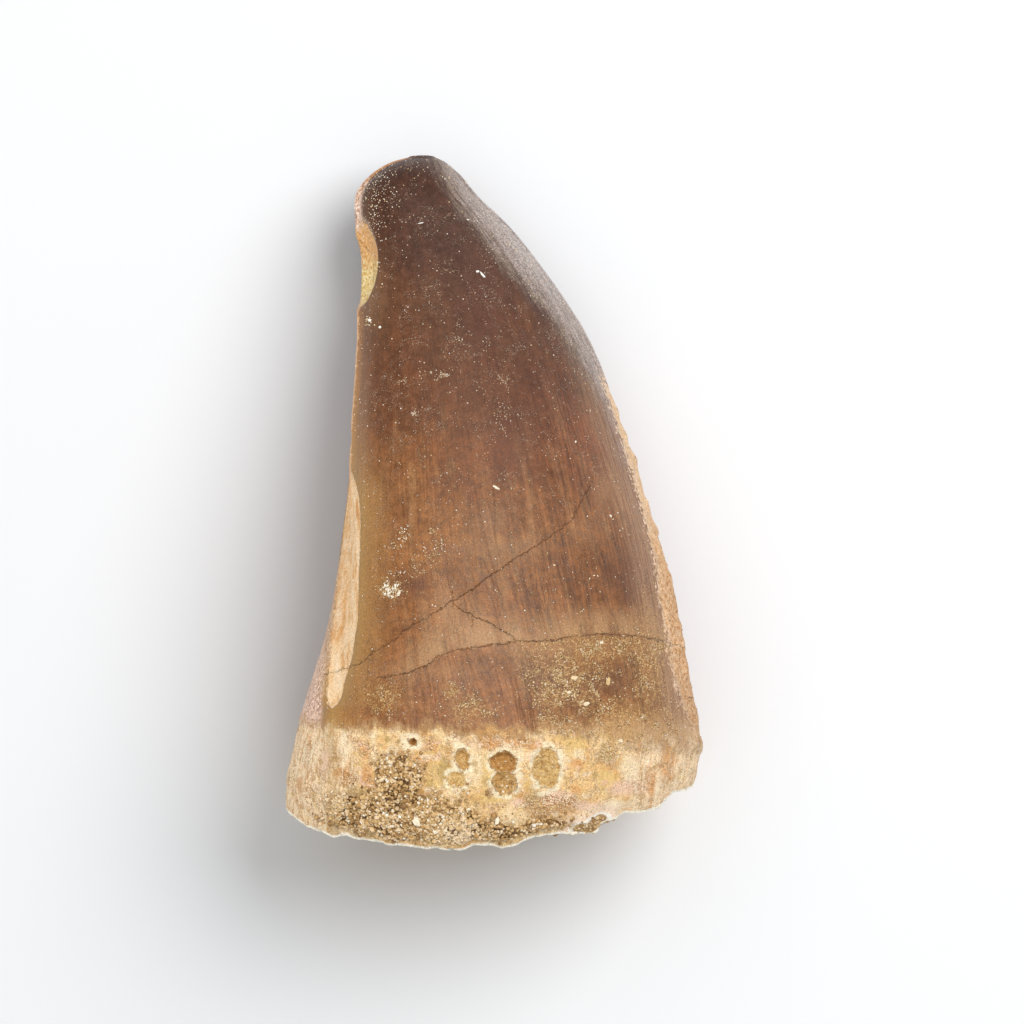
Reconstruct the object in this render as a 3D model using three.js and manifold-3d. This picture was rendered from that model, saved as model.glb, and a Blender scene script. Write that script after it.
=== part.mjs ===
// A fossil mosasaur tooth: a worn, slightly curved crown with a cutting ridge on each edge,
// the broken stump of its root, and the sandy matrix that is still stuck in and over the root's end.
// It lies on its rounded back with the flatter face up. Millimetres, +Z up, +Y towards the tip,
// +X to the right as seen from above. The origin is under the middle of the tooth, where it lies.
import * as THREE from "three";
import { mergeVertices } from "three/addons/utils/BufferGeometryUtils.js";
import Module from "manifold-3d";

const wasm = await Module();
wasm.setup();

// ---------------------------------------------------------------- driving dimensions

// Rings from the root's broken end to the tip: place along the tooth, reach to the left and right, height of
// the face, height of the back, share of the height where the left edge is widest, and the turns of the left
// and right cutting ridges in degrees, counted from +X towards +Z.
const RINGS = [
  { y: -24.2, left: -14.75, right: 14.6, face: 17.2, back: 0.5, waist: 0.44, ridgeLeft: 138, ridgeRight: 14 },
  { y: -22.6, left: -14.8, right: 14.9, face: 18.7, back: 0, waist: 0.43, ridgeLeft: 138, ridgeRight: 14 },
  { y: -20.4, left: -14.7, right: 15.05, face: 20, back: -0.2, waist: 0.43, ridgeLeft: 138, ridgeRight: 14 },
  { y: -17.5, left: -14.2, right: 15.2, face: 20.9, back: -0.2, waist: 0.43, ridgeLeft: 139, ridgeRight: 13 },
  { y: -14, left: -13.2, right: 14.6, face: 21, back: -0.2, waist: 0.44, ridgeLeft: 143, ridgeRight: 12 },
  { y: -9, left: -11.7, right: 13.65, face: 20.2, back: -0.2, waist: 0.48, ridgeLeft: 154, ridgeRight: 10 },
  { y: -2.5, left: -10.7, right: 12.1, face: 18.6, back: -0.2, waist: 0.52, ridgeLeft: 165, ridgeRight: 7 },
  { y: 4.5, left: -9.9, right: 9.75, face: 16.2, back: -0.2, waist: 0.56, ridgeLeft: 170, ridgeRight: 4 },
  { y: 11, left: -9.4, right: 7.15, face: 13.6, back: -0.2, waist: 0.58, ridgeLeft: 172, ridgeRight: 3 },
  { y: 14, left: -9.35, right: 5.5, face: 12.3, back: -0.2, waist: 0.58, ridgeLeft: 172, ridgeRight: 3 },
  { y: 17, left: -9.3, right: 3.4, face: 11, back: -0.2, waist: 0.57, ridgeLeft: 173, ridgeRight: 2 },
  { y: 20.2, left: -9.45, right: 0.85, face: 9.6, back: 0.2, waist: 0.55, ridgeLeft: 174, ridgeRight: 2 },
  { y: 22.2, left: -9.4, right: -1.3, face: 8.75, back: 1, waist: 0.54, ridgeLeft: 174, ridgeRight: 2 },
  { y: 23.6, left: -8.3, right: -2.5, face: 7.9, back: 1.9, waist: 0.52, ridgeLeft: 174, ridgeRight: 2 },
  { y: 24.45, left: -6.95, right: -3.2, face: 6.9, back: 2.8, waist: 0.5, ridgeLeft: 174, ridgeRight: 2 },
  { y: 24.85, left: -5.6, right: -4, face: 5.8, back: 3.9, waist: 0.5, ridgeLeft: 174, ridgeRight: 2 },
];
const TIP = new THREE.Vector3(-4.85, 25.0, 4.9);

const MIDDLE_SHARE = 0.46; // where the face is highest, as a share of the width
const RIGHT_WAIST = 0.44; // share of the height where the right edge is widest
const FACE_POWER = 2.6; // superellipse powers: the left of the face, its right shoulder and the back
const SHOULDER_POWER = 2.25;
const BACK_POWER = 2.05;

// The cutting ridges: height, and how far they spread round the tooth in degrees.
const LEFT_RIDGE = { height: 0.32, spread: 4 };
const RIGHT_RIDGE = { height: 0.28, spread: 6, fades: 23.4, ends: 24.6 };
const NICKED = { full: 4, ends: 11, share: 0.5 }; // where the right ridge is nicked, and how deeply
// The left ridge is worn to a flat strip from just above the root to the middle of the crown.
const WORN_STRIP = { low: -14.7, blend: 0.6, fades: -4, high: 4, depth: 0.42, spread: 11 };

// The broken end of the root, along the face as x and y; lower down it draws back by a share of the depth.
const END_LINE = [
  [-15.0, -22.4], [-14.5, -22.6], [-13.8, -23.0], [-13.1, -23.5], [-11.9, -23.75], [-11.3, -23.95],
  [-10.7, -23.8], [-10.1, -23.85], [-9.3, -24.2], [-7.2, -24.4], [-4.6, -24.65], [-2.5, -24.85],
  [-1.8, -24.75], [-1.1, -24.4], [0.9, -24.6], [1.9, -24.4], [2.9, -24.0], [4.8, -23.7], [5.7, -23.7],
  [6.8, -24.0], [7.4, -23.8], [8.3, -22.8], [9.0, -22.7], [9.6, -22.3], [10.7, -22.3], [11.8, -22.1],
  [12.6, -21.6], [13.1, -21.1], [14.3, -21.0], [15.2, -20.8],
];
const END_UNDERCUT = 0.05;
const END_HOLLOW = 0.5; // how far the middle of the end sinks behind its rim
const ROOT_TOP_RING = 3; // rings below this one bend with the broken end

// The enamel's lower edge across the face, as x and y. The enamel stands a step proud of the lumpy root.
const MARGIN_LINE = [
  [-15.0, -15.7], [-11.5, -16.2], [-7.7, -16.3], [-4.5, -16.3], [-1.0, -16.5], [1.8, -16.5], [4.6, -16.2],
  [7.5, -16.3], [9.0, -17.0], [11.0, -17.5], [15.0, -17.8],
];
const CROWN_STEP = 0.16;
const CROWN_BLEND = 0.5;
const ROOT_LUMPS = 0.08;
const FINE_SHARE = 0.6; // how strong the finer of two sets of waves is, in the root's lumps and the knobs

// The crest between the face and its right shoulder, as y and x, and the heights between which it shows.
const CREST_LINE = [
  [4.4, 7.9], [7.3, 6.9], [11.5, 4.9], [13.0, 3.9], [14.4, 2.8], [15.8, 1.5], [16.9, 0.5], [18.1, -0.4],
  [19.1, -1.2], [20.2, -2.2], [21.6, -3.1], [23.1, -3.9], [24.6, -4.6],
];
const CREST = { height: 0.34, spread: 1.3, starts: 4, full: 11, fades: 22.5, ends: 24.8 };
const DENT = { at: [0.2, 21.4, 6.6], reach: [1.7, 2.2, 2.6], depth: 0.35 }; // below the tip, on the right

// Hollows cut out of the tooth, as ellipsoids: a flake chipped off the left edge, and the root's round pits.
const CHIP = { name: "edge chip", at: [-10.6, 17.2, 9.2], reach: [2.55, 3.75, 3.4] };
const RIM_BREAKS = [
  { name: "front ledge, left", at: [6.9, -23.5, 16.9], reach: [1.15, 0.7, 1.3] },
  { name: "front ledge, right", at: [8.1, -22.9, 16.8], reach: [1.15, 0.7, 1.3] },
  { name: "right flake", at: [14.9, -22.2, 5.3], reach: [1.9, 2.0, 2.0] },
  { name: "back flake", at: [7.2, -24.4, 1.4], reach: [3.4, 1.9, 1.6] },
  { name: "back nick", at: [-5.6, -24.6, 0.4], reach: [2.6, 1.4, 1.3] },
  { name: "left nick", at: [-14.2, -23.0, 5.4], reach: [1.7, 1.5, 2.4] },
];
const PITS = [
  { name: "keyhole pit", at: [0.92, -18.55, 20.6], reach: [0.98, 0.74, 0.65] },
  { name: "keyhole foot", at: [1.05, -19.97, 20.15], reach: [0.95, 0.74, 0.45] },
  { name: "shallow pit", at: [3.94, -18.94, 20.2], reach: [0.98, 1.42, 0.4] },
  { name: "narrow pit", at: [-2.04, -18.34, 20.7], reach: [0.46, 0.72, 0.5] },
  { name: "smooth lobe", at: [-2.39, -19.72, 20.2], reach: [0.68, 0.68, 0.3] },
  { name: "small deep pit", at: [-5.58, -17.09, 20.6], reach: [0.42, 0.36, 0.9] },
];

// The matrix is one crust: an apron over the lower left of the face, and the plug that fills the end.
const CRUST_LUMPS = [
  { name: "apron", at: [-6.9, -22.9, 17.8], reach: [6.3, 2.7, 3.4] },
  { name: "tongue", at: [-6.7, -19.7, 20.1], reach: [1.7, 1.9, 1.6] },
  { name: "edge strip", at: [1.4, -24.1, 17.6], reach: [5.0, 1.5, 2.4] },
  { name: "bridge", at: [-5.5, -25.2, 14.6], reach: [4.4, 2.4, 4.6] },
];
const END_PLUG = { name: "end plug", at: [-0.6, -22.3, 8.9], reach: [9.4, 1.95, 6.4] };
const CRUST_THICKNESS = 0.45; // how far the crust stands out of the tooth's own surface
const KNOB = 0.3; // height of the matrix's knobs
const FIT_GAP = 0.3; // between the crust and the tooth

// ---------------------------------------------------------------- mesh density

const FACE_COLUMNS = 32; // from the right ridge over the face to the left ridge
const BACK_COLUMNS = 18; // and on round the back
const COLUMN_CROWDING = 0.5; // how much the columns crowd towards the ridges
const ROWS_PER_RING = 3;
const END_RINGS = 4;
const HOLLOW_SEGMENTS = 8;
const WIDE_LUMP = 5; // matrix lumps wider than this get a finer ball

const degrees = THREE.MathUtils.degToRad;
const { lerp, smoothstep } = THREE.MathUtils;

// ---------------------------------------------------------------- the tooth's surface

// Smooth curve through one column of the ring table, at a ring place such as 2.4.
function ringValue(key, place) {
  const at = Math.min(Math.floor(place), RINGS.length - 2);
  const p = place - at;
  const v = (i) => RINGS[Math.max(0, Math.min(RINGS.length - 1, i))][key];
  const [a, b, c, d] = [v(at - 1), v(at), v(at + 1), v(at + 2)];
  return b + 0.5 * p * (c - a + p * (2 * a - 5 * b + 4 * c - d + p * (3 * (b - c) + d - a)));
}

function ringAt(place) {
  const ring = {};
  for (const key of Object.keys(RINGS[0])) ring[key] = ringValue(key, place);
  return ring;
}

// The turn of a column: columns run from ridge to ridge, so each ridge keeps a column of its own.
function turnOf(column, ring) {
  const onFace = column < FACE_COLUMNS;
  const share = onFace ? column / FACE_COLUMNS : (column - FACE_COLUMNS) / BACK_COLUMNS;
  const crowded = share - (COLUMN_CROWDING * Math.sin(2 * Math.PI * share)) / (2 * Math.PI);
  return onFace
    ? lerp(ring.ridgeRight, ring.ridgeLeft, crowded)
    : lerp(ring.ridgeLeft, ring.ridgeRight + 360, crowded);
}

const signedPower = (value, power) => Math.sign(value) * Math.abs(value) ** power;

// A bell-shaped rise round a ridge, from 1 on it to 0 away from it.
function bell(turn, ridge, spread) {
  const away = ((turn - ridge + 540) % 360) - 180;
  return Math.exp(-((away / spread) ** 2));
}

// A value from a table of pairs, straight between them.
function through(table, at) {
  const next = table.findIndex(([place]) => place > at);
  if (next === 0) return table[0][1];
  if (next < 0) return table[table.length - 1][1];
  const [[from, low], [to, high]] = [table[next - 1], table[next]];
  return lerp(low, high, (at - from) / (to - from));
}

// Where the root's broken end lies, at a sideways place and a height.
const endAt = (x, z, face) => through(END_LINE, x) + END_UNDERCUT * (face - z);

// Lumps of the root: broad waves with weaker, finer ones over them, which don't repeat together.
function lumps(p) {
  const broad = Math.sin(1.9 * p.x + 0.8 * p.z) * Math.sin(1.4 * p.y - 0.6 * p.x + 1);
  const fine = Math.sin(2.7 * p.z + 1.1 * p.y) * Math.sin(2.3 * p.x - 1.7);
  return broad + FINE_SHARE * fine;
}

// The right ridge is chipped and nicked along the lower crown, and whole above it.
function nicks(y) {
  const chipped = 1 - smoothstep(y, NICKED.full, NICKED.ends);
  return 1 - chipped * NICKED.share * (1 + Math.sin(2.6 * y) * Math.sin(1.1 * y + 0.7));
}

// The left ridge, which is worn to a flat strip over the lower crown, and the sharper right ridge.
function ridges(p, turn, ring) {
  const { low, blend, fades, high } = WORN_STRIP;
  const worn = smoothstep(p.y, low, low + blend) * (1 - smoothstep(p.y, fades, high));
  const left = LEFT_RIDGE.height * (1 - worn) * bell(turn, ring.ridgeLeft, LEFT_RIDGE.spread);
  const strip = WORN_STRIP.depth * worn * bell(turn, ring.ridgeLeft, WORN_STRIP.spread);
  const right = RIGHT_RIDGE.height * nicks(p.y) * bell(turn, ring.ridgeRight, RIGHT_RIDGE.spread);
  return left - strip + right * (1 - smoothstep(p.y, RIGHT_RIDGE.fades, RIGHT_RIDGE.ends));
}

// How far the surface stands out of its plain section at a point.
function relief(p, turn, ring) {
  const aboveMargin = p.y - through(MARGIN_LINE, p.x);
  const root = 1 - smoothstep(aboveMargin, -CROWN_BLEND, CROWN_BLEND);
  const onFace = Math.sin(degrees(turn)) > 0 ? 1 : 0;
  const offCrest = (p.x - through(CREST_LINE, p.y)) / CREST.spread;
  const crest = CREST.height * Math.exp(-(offCrest ** 2)) * smoothstep(p.y, CREST.starts, CREST.full);
  const crestShows = onFace * (1 - smoothstep(p.y, CREST.fades, CREST.ends));
  const dent = DENT.at.reduce((sum, c, i) => sum + ((p.getComponent(i) - c) / DENT.reach[i]) ** 2, 0);
  const step = root * (CROWN_STEP - ROOT_LUMPS * lumps(p));
  return ridges(p, turn, ring) - step + crest * crestShows - DENT.depth * Math.exp(-dent);
}

function pointOn(ring, place, turn, swell) {
  const c = Math.cos(degrees(turn));
  const s = Math.sin(degrees(turn));
  const middle = lerp(ring.left, ring.right, MIDDLE_SHARE);
  const widest = lerp(ring.back, ring.face, c < 0 ? ring.waist : RIGHT_WAIST);
  const wide = c < 0 ? middle - ring.left : ring.right - middle;
  const high = s > 0 ? ring.face - widest : widest - ring.back;
  const power = s < 0 ? BACK_POWER : c < 0 ? FACE_POWER : SHOULDER_POWER;
  const p = new THREE.Vector3(
    middle + wide * signedPower(c, 2 / power),
    ring.y,
    widest + high * signedPower(s, 2 / power),
  );
  if (place < ROOT_TOP_RING) {
    const share = (ring.y - RINGS[0].y) / (RINGS[ROOT_TOP_RING].y - RINGS[0].y);
    p.y = lerp(endAt(p.x, p.z, ring.face), RINGS[ROOT_TOP_RING].y, share);
  }
  const out = swell + relief(p, turn, ring);
  const away = new THREE.Vector3(c / wide, 0, s / high).normalize();
  return p.addScaledVector(away, out);
}

// The whole tooth as one closed mesh, grown outwards by swell: rows of rings, the tip, and the dished end.
function toothGeometry(swell) {
  const columns = FACE_COLUMNS + BACK_COLUMNS;
  const lastPlace = RINGS.length - 1;
  const rows = [];
  for (let row = 0; row <= lastPlace * ROWS_PER_RING; row++) {
    const place = row / ROWS_PER_RING;
    const ring = ringAt(place);
    rows.push(
      Array.from({ length: columns }, (_, column) => pointOn(ring, place, turnOf(column, ring), swell)),
    );
  }
  const rim = rows[0];
  const core = new THREE.Vector3();
  rim.forEach((p) => core.addScaledVector(p, 1 / columns));
  const endFace = RINGS[0].face;
  const inner = (share) =>
    rim.map((p) => {
      const q = core.clone().lerp(p, share);
      q.y = endAt(q.x, q.z, endFace) - swell + END_HOLLOW * (1 - share ** 4);
      return q;
    });
  for (let i = 1; i < END_RINGS; i++) rows.unshift(inner(1 - i / END_RINGS));
  const endMiddle = inner(0)[0];
  const tip = TIP.clone().add(new THREE.Vector3(0, swell, 0));

  const points = rows.flat();
  const first = points.length;
  points.push(endMiddle, tip);
  const faces = [];
  for (let r = 0; r < rows.length - 1; r++)
    for (let c = 0; c < columns; c++) {
      const a = r * columns + c;
      const b = r * columns + ((c + 1) % columns);
      faces.push(a, b, a + columns, b, b + columns, a + columns);
    }
  const top = (rows.length - 1) * columns;
  for (let c = 0; c < columns; c++) {
    const next = (c + 1) % columns;
    faces.push(first, next, c);
    faces.push(first + 1, top + c, top + next);
  }
  const flat = new Float32Array(points.flatMap((p) => [p.x, p.y, p.z]));
  // The rings turn from +X to +Z, which is clockwise seen from the tip, so the faces are turned round.
  for (let i = 0; i < faces.length; i += 3) [faces[i + 1], faces[i + 2]] = [faces[i + 2], faces[i + 1]];
  return new THREE.BufferGeometry()
    .setAttribute("position", new THREE.BufferAttribute(flat, 3))
    .setIndex(faces);
}

// ---------------------------------------------------------------- joining and cutting

function solidFrom(geometry) {
  const bare = new THREE.BufferGeometry().setAttribute("position", geometry.getAttribute("position"));
  bare.setIndex(geometry.index);
  const merged = mergeVertices(bare, 1e-4);
  return new wasm.Manifold(
    new wasm.Mesh({
      numProp: 3,
      vertProperties: merged.attributes.position.array,
      triVerts: new Uint32Array(merged.index.array),
    }),
  );
}

function geometryFrom(solid) {
  const { vertProperties, triVerts, numProp } = solid.getMesh();
  const positions = new Float32Array((vertProperties.length / numProp) * 3);
  for (let i = 0; i < positions.length / 3; i++)
    positions.set(vertProperties.subarray(i * numProp, i * numProp + 3), 3 * i);
  return new THREE.BufferGeometry()
    .setAttribute("position", new THREE.BufferAttribute(positions, 3))
    .setIndex(new THREE.BufferAttribute(new Uint32Array(triVerts), 1));
}

function ellipsoid({ at, reach }) {
  const ball = new THREE.SphereGeometry(1, 2 * HOLLOW_SEGMENTS, HOLLOW_SEGMENTS);
  return solidFrom(ball.scale(...reach).translate(...at));
}

// Knobs of the matrix, made up like the root's lumps.
function knobs(p) {
  const broad = Math.sin(1.7 * p.x + 0.5) * Math.sin(1.9 * p.z);
  return broad + FINE_SHARE * Math.sin(2.9 * p.x - 2.3 * p.z);
}

// One lump of matrix: a rounded mass with knobs.
function matrixLump({ at, reach }, grow) {
  const ball = new THREE.IcosahedronGeometry(1, Math.max(...reach) > WIDE_LUMP ? 4 : 3);
  ball.scale(...reach.map((r) => r + grow)).translate(...at);
  const position = ball.getAttribute("position");
  const middle = new THREE.Vector3(...at);
  const p = new THREE.Vector3();
  for (let i = 0; i < position.count; i++) {
    p.fromBufferAttribute(position, i);
    const out = p.clone().sub(middle).normalize();
    position.setXYZ(i, ...p.addScaledVector(out, KNOB * knobs(p)));
  }
  return solidFrom(ball);
}

const SLAB = { wide: 80, thick: 10 };
const slabUnderFloor = () =>
  solidFrom(new THREE.BoxGeometry(SLAB.wide, SLAB.wide, SLAB.thick).translate(0, 0, -SLAB.thick / 2));
const joined = (solids) => solids.reduce((sum, s) => sum.add(s));

function toothSolid() {
  const room = joined([...CRUST_LUMPS, END_PLUG].map((lump) => matrixLump(lump, FIT_GAP)));
  const hollows = [CHIP, ...RIM_BREAKS, ...PITS].map(ellipsoid);
  const solid = solidFrom(toothGeometry(0)).subtract(slabUnderFloor());
  return hollows.reduce((rest, hollow) => rest.subtract(hollow), solid).subtract(room);
}

function matrixSolid() {
  const crust = joined(CRUST_LUMPS.map((lump) => matrixLump(lump, 0)));
  return crust.intersect(solidFrom(toothGeometry(CRUST_THICKNESS))).add(matrixLump(END_PLUG, 0));
}

// ---------------------------------------------------------------- the part

function piece(name, solid, material) {
  const geometry = geometryFrom(solid);
  geometry.computeVertexNormals();
  const mesh = new THREE.Mesh(geometry, material);
  mesh.name = name;
  return mesh;
}

const fossilEnamel = new THREE.MeshStandardMaterial({ color: 0x9a6c4b, roughness: 0.38, metalness: 0 });
const sandyMatrix = new THREE.MeshStandardMaterial({ color: 0xbf9f74, roughness: 0.95, metalness: 0 });

const fossil = new THREE.Group();
fossil.add(piece("tooth", toothSolid(), fossilEnamel));
fossil.add(piece("matrix", matrixSolid(), sandyMatrix));

const bounds = new THREE.Box3().setFromObject(fossil);
const middle = bounds.getCenter(new THREE.Vector3());
fossil.position.set(-middle.x, -middle.y, -bounds.min.z);

export default fossil;
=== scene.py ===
"""A fossil mosasaur tooth that lies on its rounded side on a pale floor, seen from straight above.

The frame holds two solids, the tooth and the sandy matrix in its broken root. Both are replaced here by
finer meshes of the same form: the tooth's surface, and the matrix as a crust over the root and a plug in its
end. Grains of sand are added. Lengths are in millimetres until an object is made; +X is right, +Y is towards
the tip, +Z is up.
"""
import math
from itertools import product

import bmesh
import bpy
import numpy as np
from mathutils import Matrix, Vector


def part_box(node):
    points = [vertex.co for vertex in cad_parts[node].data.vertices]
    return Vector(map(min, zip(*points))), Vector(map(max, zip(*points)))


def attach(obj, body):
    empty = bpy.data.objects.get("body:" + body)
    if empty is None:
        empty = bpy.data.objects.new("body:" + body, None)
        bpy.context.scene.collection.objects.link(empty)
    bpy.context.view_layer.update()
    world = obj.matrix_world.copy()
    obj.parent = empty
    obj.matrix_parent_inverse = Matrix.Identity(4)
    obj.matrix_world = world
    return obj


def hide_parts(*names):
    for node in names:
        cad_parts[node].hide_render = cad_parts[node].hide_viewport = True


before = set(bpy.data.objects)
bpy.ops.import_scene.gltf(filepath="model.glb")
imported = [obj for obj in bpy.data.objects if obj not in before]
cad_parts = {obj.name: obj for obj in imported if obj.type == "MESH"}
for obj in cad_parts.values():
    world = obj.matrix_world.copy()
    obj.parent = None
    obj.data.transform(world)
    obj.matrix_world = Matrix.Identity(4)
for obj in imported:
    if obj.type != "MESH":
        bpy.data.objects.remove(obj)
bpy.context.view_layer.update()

MM = 0.001
rng = np.random.default_rng(66)

# ---------------------------------------------------------------- the tooth's form

# Rings from the root's broken end to the tip: y, left, right, face, back, share of the height where the left
# edge is widest, and the turns of the left and right cutting ridges in degrees, from +X towards +Z.
RINGS = np.array([
    (-24.2, -14.75, 14.6, 17.2, 0.5, 0.44, 138, 14),
    (-22.6, -14.8, 14.9, 18.7, 0.0, 0.43, 138, 14),
    (-20.4, -14.7, 15.05, 20.0, -0.2, 0.43, 138, 14),
    (-17.5, -14.2, 15.2, 20.9, -0.2, 0.43, 139, 13),
    (-14.0, -13.2, 14.6, 21.0, -0.2, 0.44, 143, 12),
    (-9.0, -11.7, 13.65, 20.2, -0.2, 0.48, 154, 10),
    (-2.5, -10.7, 12.1, 18.6, -0.2, 0.52, 165, 7),
    (4.5, -9.9, 9.75, 16.2, -0.2, 0.56, 170, 4),
    (11.0, -9.4, 7.15, 13.6, -0.2, 0.58, 172, 3),
    (14.0, -9.35, 5.5, 12.3, -0.2, 0.58, 172, 3),
    (17.0, -9.3, 3.4, 11.0, -0.2, 0.57, 173, 2),
    (20.2, -9.45, 0.85, 9.6, 0.2, 0.55, 174, 2),
    (22.2, -9.4, -1.3, 8.75, 1.0, 0.54, 174, 2),
    (23.6, -8.3, -2.5, 7.9, 1.9, 0.52, 174, 2),
    (24.45, -6.95, -3.2, 6.9, 2.8, 0.5, 174, 2),
    (24.85, -5.6, -4.0, 5.8, 3.9, 0.5, 174, 2),
])
TIP = np.array([-4.85, 25.0, 4.9])
ROOT_TOP_RING = 3  # rings below this one bend with the broken end
MIDDLE_SHARE = 0.46  # where the face is highest, as a share of the width
RIGHT_WAIST = 0.44  # share of the height where the right edge is widest
FACE_POWER, SHOULDER_POWER, BACK_POWER = 2.6, 2.25, 2.05  # superellipse powers

# The broken end along the face, as x and y. It draws back further down, and its middle sinks behind its rim.
END_UNDERCUT, END_HOLLOW = 0.05, 0.5
END_LINE = [
    (-15.0, -22.4), (-14.5, -22.6), (-13.8, -23.0), (-13.1, -23.5), (-11.9, -23.75), (-11.3, -23.95),
    (-10.7, -23.8), (-10.1, -23.85), (-9.3, -24.2), (-7.2, -24.4), (-4.6, -24.65), (-2.5, -24.85),
    (-1.8, -24.75), (-1.1, -24.4), (0.9, -24.6), (1.9, -24.4), (2.9, -24.0), (4.8, -23.7), (5.7, -23.7),
    (6.8, -24.0), (7.4, -23.8), (8.3, -22.8), (9.0, -22.7), (9.6, -22.3), (10.7, -22.3), (11.8, -22.1),
    (12.6, -21.6), (13.1, -21.1), (14.3, -21.0), (15.2, -20.8),
]

# Lines on the form: where the enamel ends, as x and y; the crest between face and right shoulder and the
# inner edge of the worn right ridge, as y and x; and the worn left ridge, as y, middle x and half width.
MARGIN_LINE = [
    (-15.0, -15.7), (-11.5, -16.2), (-7.7, -16.3), (-4.5, -16.3), (-1.0, -16.5), (1.8, -16.5),
    (4.6, -16.4), (7.5, -16.8), (9.0, -17.2), (11.0, -17.5), (15.0, -17.8),
]
CREST_LINE = [
    (4.4, 7.9), (7.3, 6.9), (11.5, 4.9), (13.0, 3.9), (14.4, 2.8), (15.8, 1.5), (16.9, 0.5),
    (18.1, -0.4), (19.1, -1.2), (20.2, -2.2), (21.6, -3.1), (23.1, -3.9), (24.6, -4.6),
]
WORN_RIGHT = [
    (-17.4, 14.7), (-13.4, 13.3), (-11.8, 12.8), (-9.8, 12.6), (-8.5, 12.3), (-6.6, 11.9), (-5.6, 11.8),
    (-4.2, 11.65), (-3.0, 11.35), (-1.3, 10.95), (0.1, 10.6), (1.5, 10.2), (3.0, 9.75), (4.1, 9.45),
    (5.1, 9.1), (6.5, 8.7), (8.5, 7.95), (11.0, 7.0), (13.5, 5.6),
]
WORN_LEFT = [
    (-14.7, -11.25, -0.05), (-14.4, -11.25, 0.36), (-13.7, -11.15, 0.6), (-12.8, -11.05, 0.65),
    (-12.0, -10.9, 0.74), (-11.1, -10.7, 0.82), (-9.4, -10.55, 0.9), (-8.5, -10.4, 0.92),
    (-6.8, -10.3, 0.85), (-5.0, -10.2, 0.8), (-2.5, -10.1, 0.8), (-0.7, -10.1, 0.8), (0.5, -10.15, 0.72),
    (1.4, -10.15, 0.5), (2.3, -10.15, 0.15), (4.4, -10.1, 0.12), (5.5, -10.1, 0.05), (7.0, -10.0, -0.1),
]

# The ridges' heights and how far they spread round the tooth in degrees, the nicks in the right one, and the
# strip worn along the left one; the enamel's step over the root and the root's lumps; the crest and the dent.
LEFT_RIDGE = {"height": 0.32, "spread": 4}
RIGHT_RIDGE = {"height": 0.28, "spread": 6, "fades": 23.4, "ends": 24.6}
NICKED = {"full": 4, "ends": 11}
WORN_STRIP = {"blend": 0.6, "fades": -4, "high": 4, "depth": 0.42, "spread": 11}
CROWN_STEP, CROWN_BLEND, ROOT_LUMPS = 0.16, 0.5, 0.08
CREST = {"height": 0.34, "spread": 1.3, "starts": 4, "full": 11, "fades": 22.5, "ends": 24.8}
DENT = {"at": (0.2, 21.4, 6.6), "reach": (1.7, 2.2, 2.6), "depth": 0.35}

# Hollows, as the middle and reach of ellipsoids: the chip, as cut and as coloured, the notch, whose bottom is
# filled with sediment, and the other breaks in the rim.
CHIP = ((-10.6, 17.2, 9.2), (2.55, 3.75, 3.4))
CHIP_OUTLINE = ((-10.6, 17.3, 8.3), (2.42, 3.7, 4.6))
NOTCH = [
    ((6.9, -23.5, 16.9), (1.15, 0.7, 1.3)),
    ((8.1, -22.9, 16.8), (1.15, 0.7, 1.3)),
]
NOTCH_FILLED = 0.65
RIM_BREAKS = [
    ((14.9, -22.2, 5.3), (1.9, 2.0, 2.0)),
    ((7.2, -24.4, 1.4), (3.4, 1.9, 1.6)),
    ((-5.6, -24.6, 0.4), (2.6, 1.4, 1.3)),
    ((-14.2, -23.0, 5.4), (1.7, 1.5, 2.4)),
]
PITS = [  # middle x and y, reach in x and y, depth, and how pale the floor is
    (0.92, -18.55, 0.9, 0.74, 0.55, 0.0),
    (1.05, -19.97, 0.95, 0.74, 0.3, 0.45),
    (3.94, -18.94, 0.98, 1.42, 0.2, 0.85),
    (-2.04, -18.34, 0.46, 0.72, 0.35, 0.6),
    (-2.39, -19.72, 0.68, 0.68, 0.12, 1.0),
    (-5.58, -17.09, 0.42, 0.36, 0.7, 0.1),
]
# The matrix, as ellipsoids too: the crust over the root and the plug in the end.
CRUST_LUMPS = [
    ((-6.9, -22.9, 17.8), (6.3, 2.7, 3.4)),
    ((-6.7, -19.7, 20.1), (1.7, 1.9, 1.6)),
    ((1.4, -24.1, 17.6), (5.0, 1.5, 2.4)),
]
PLUG = ((-0.6, -22.3, 8.9), (9.4, 1.95, 6.4))

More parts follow.
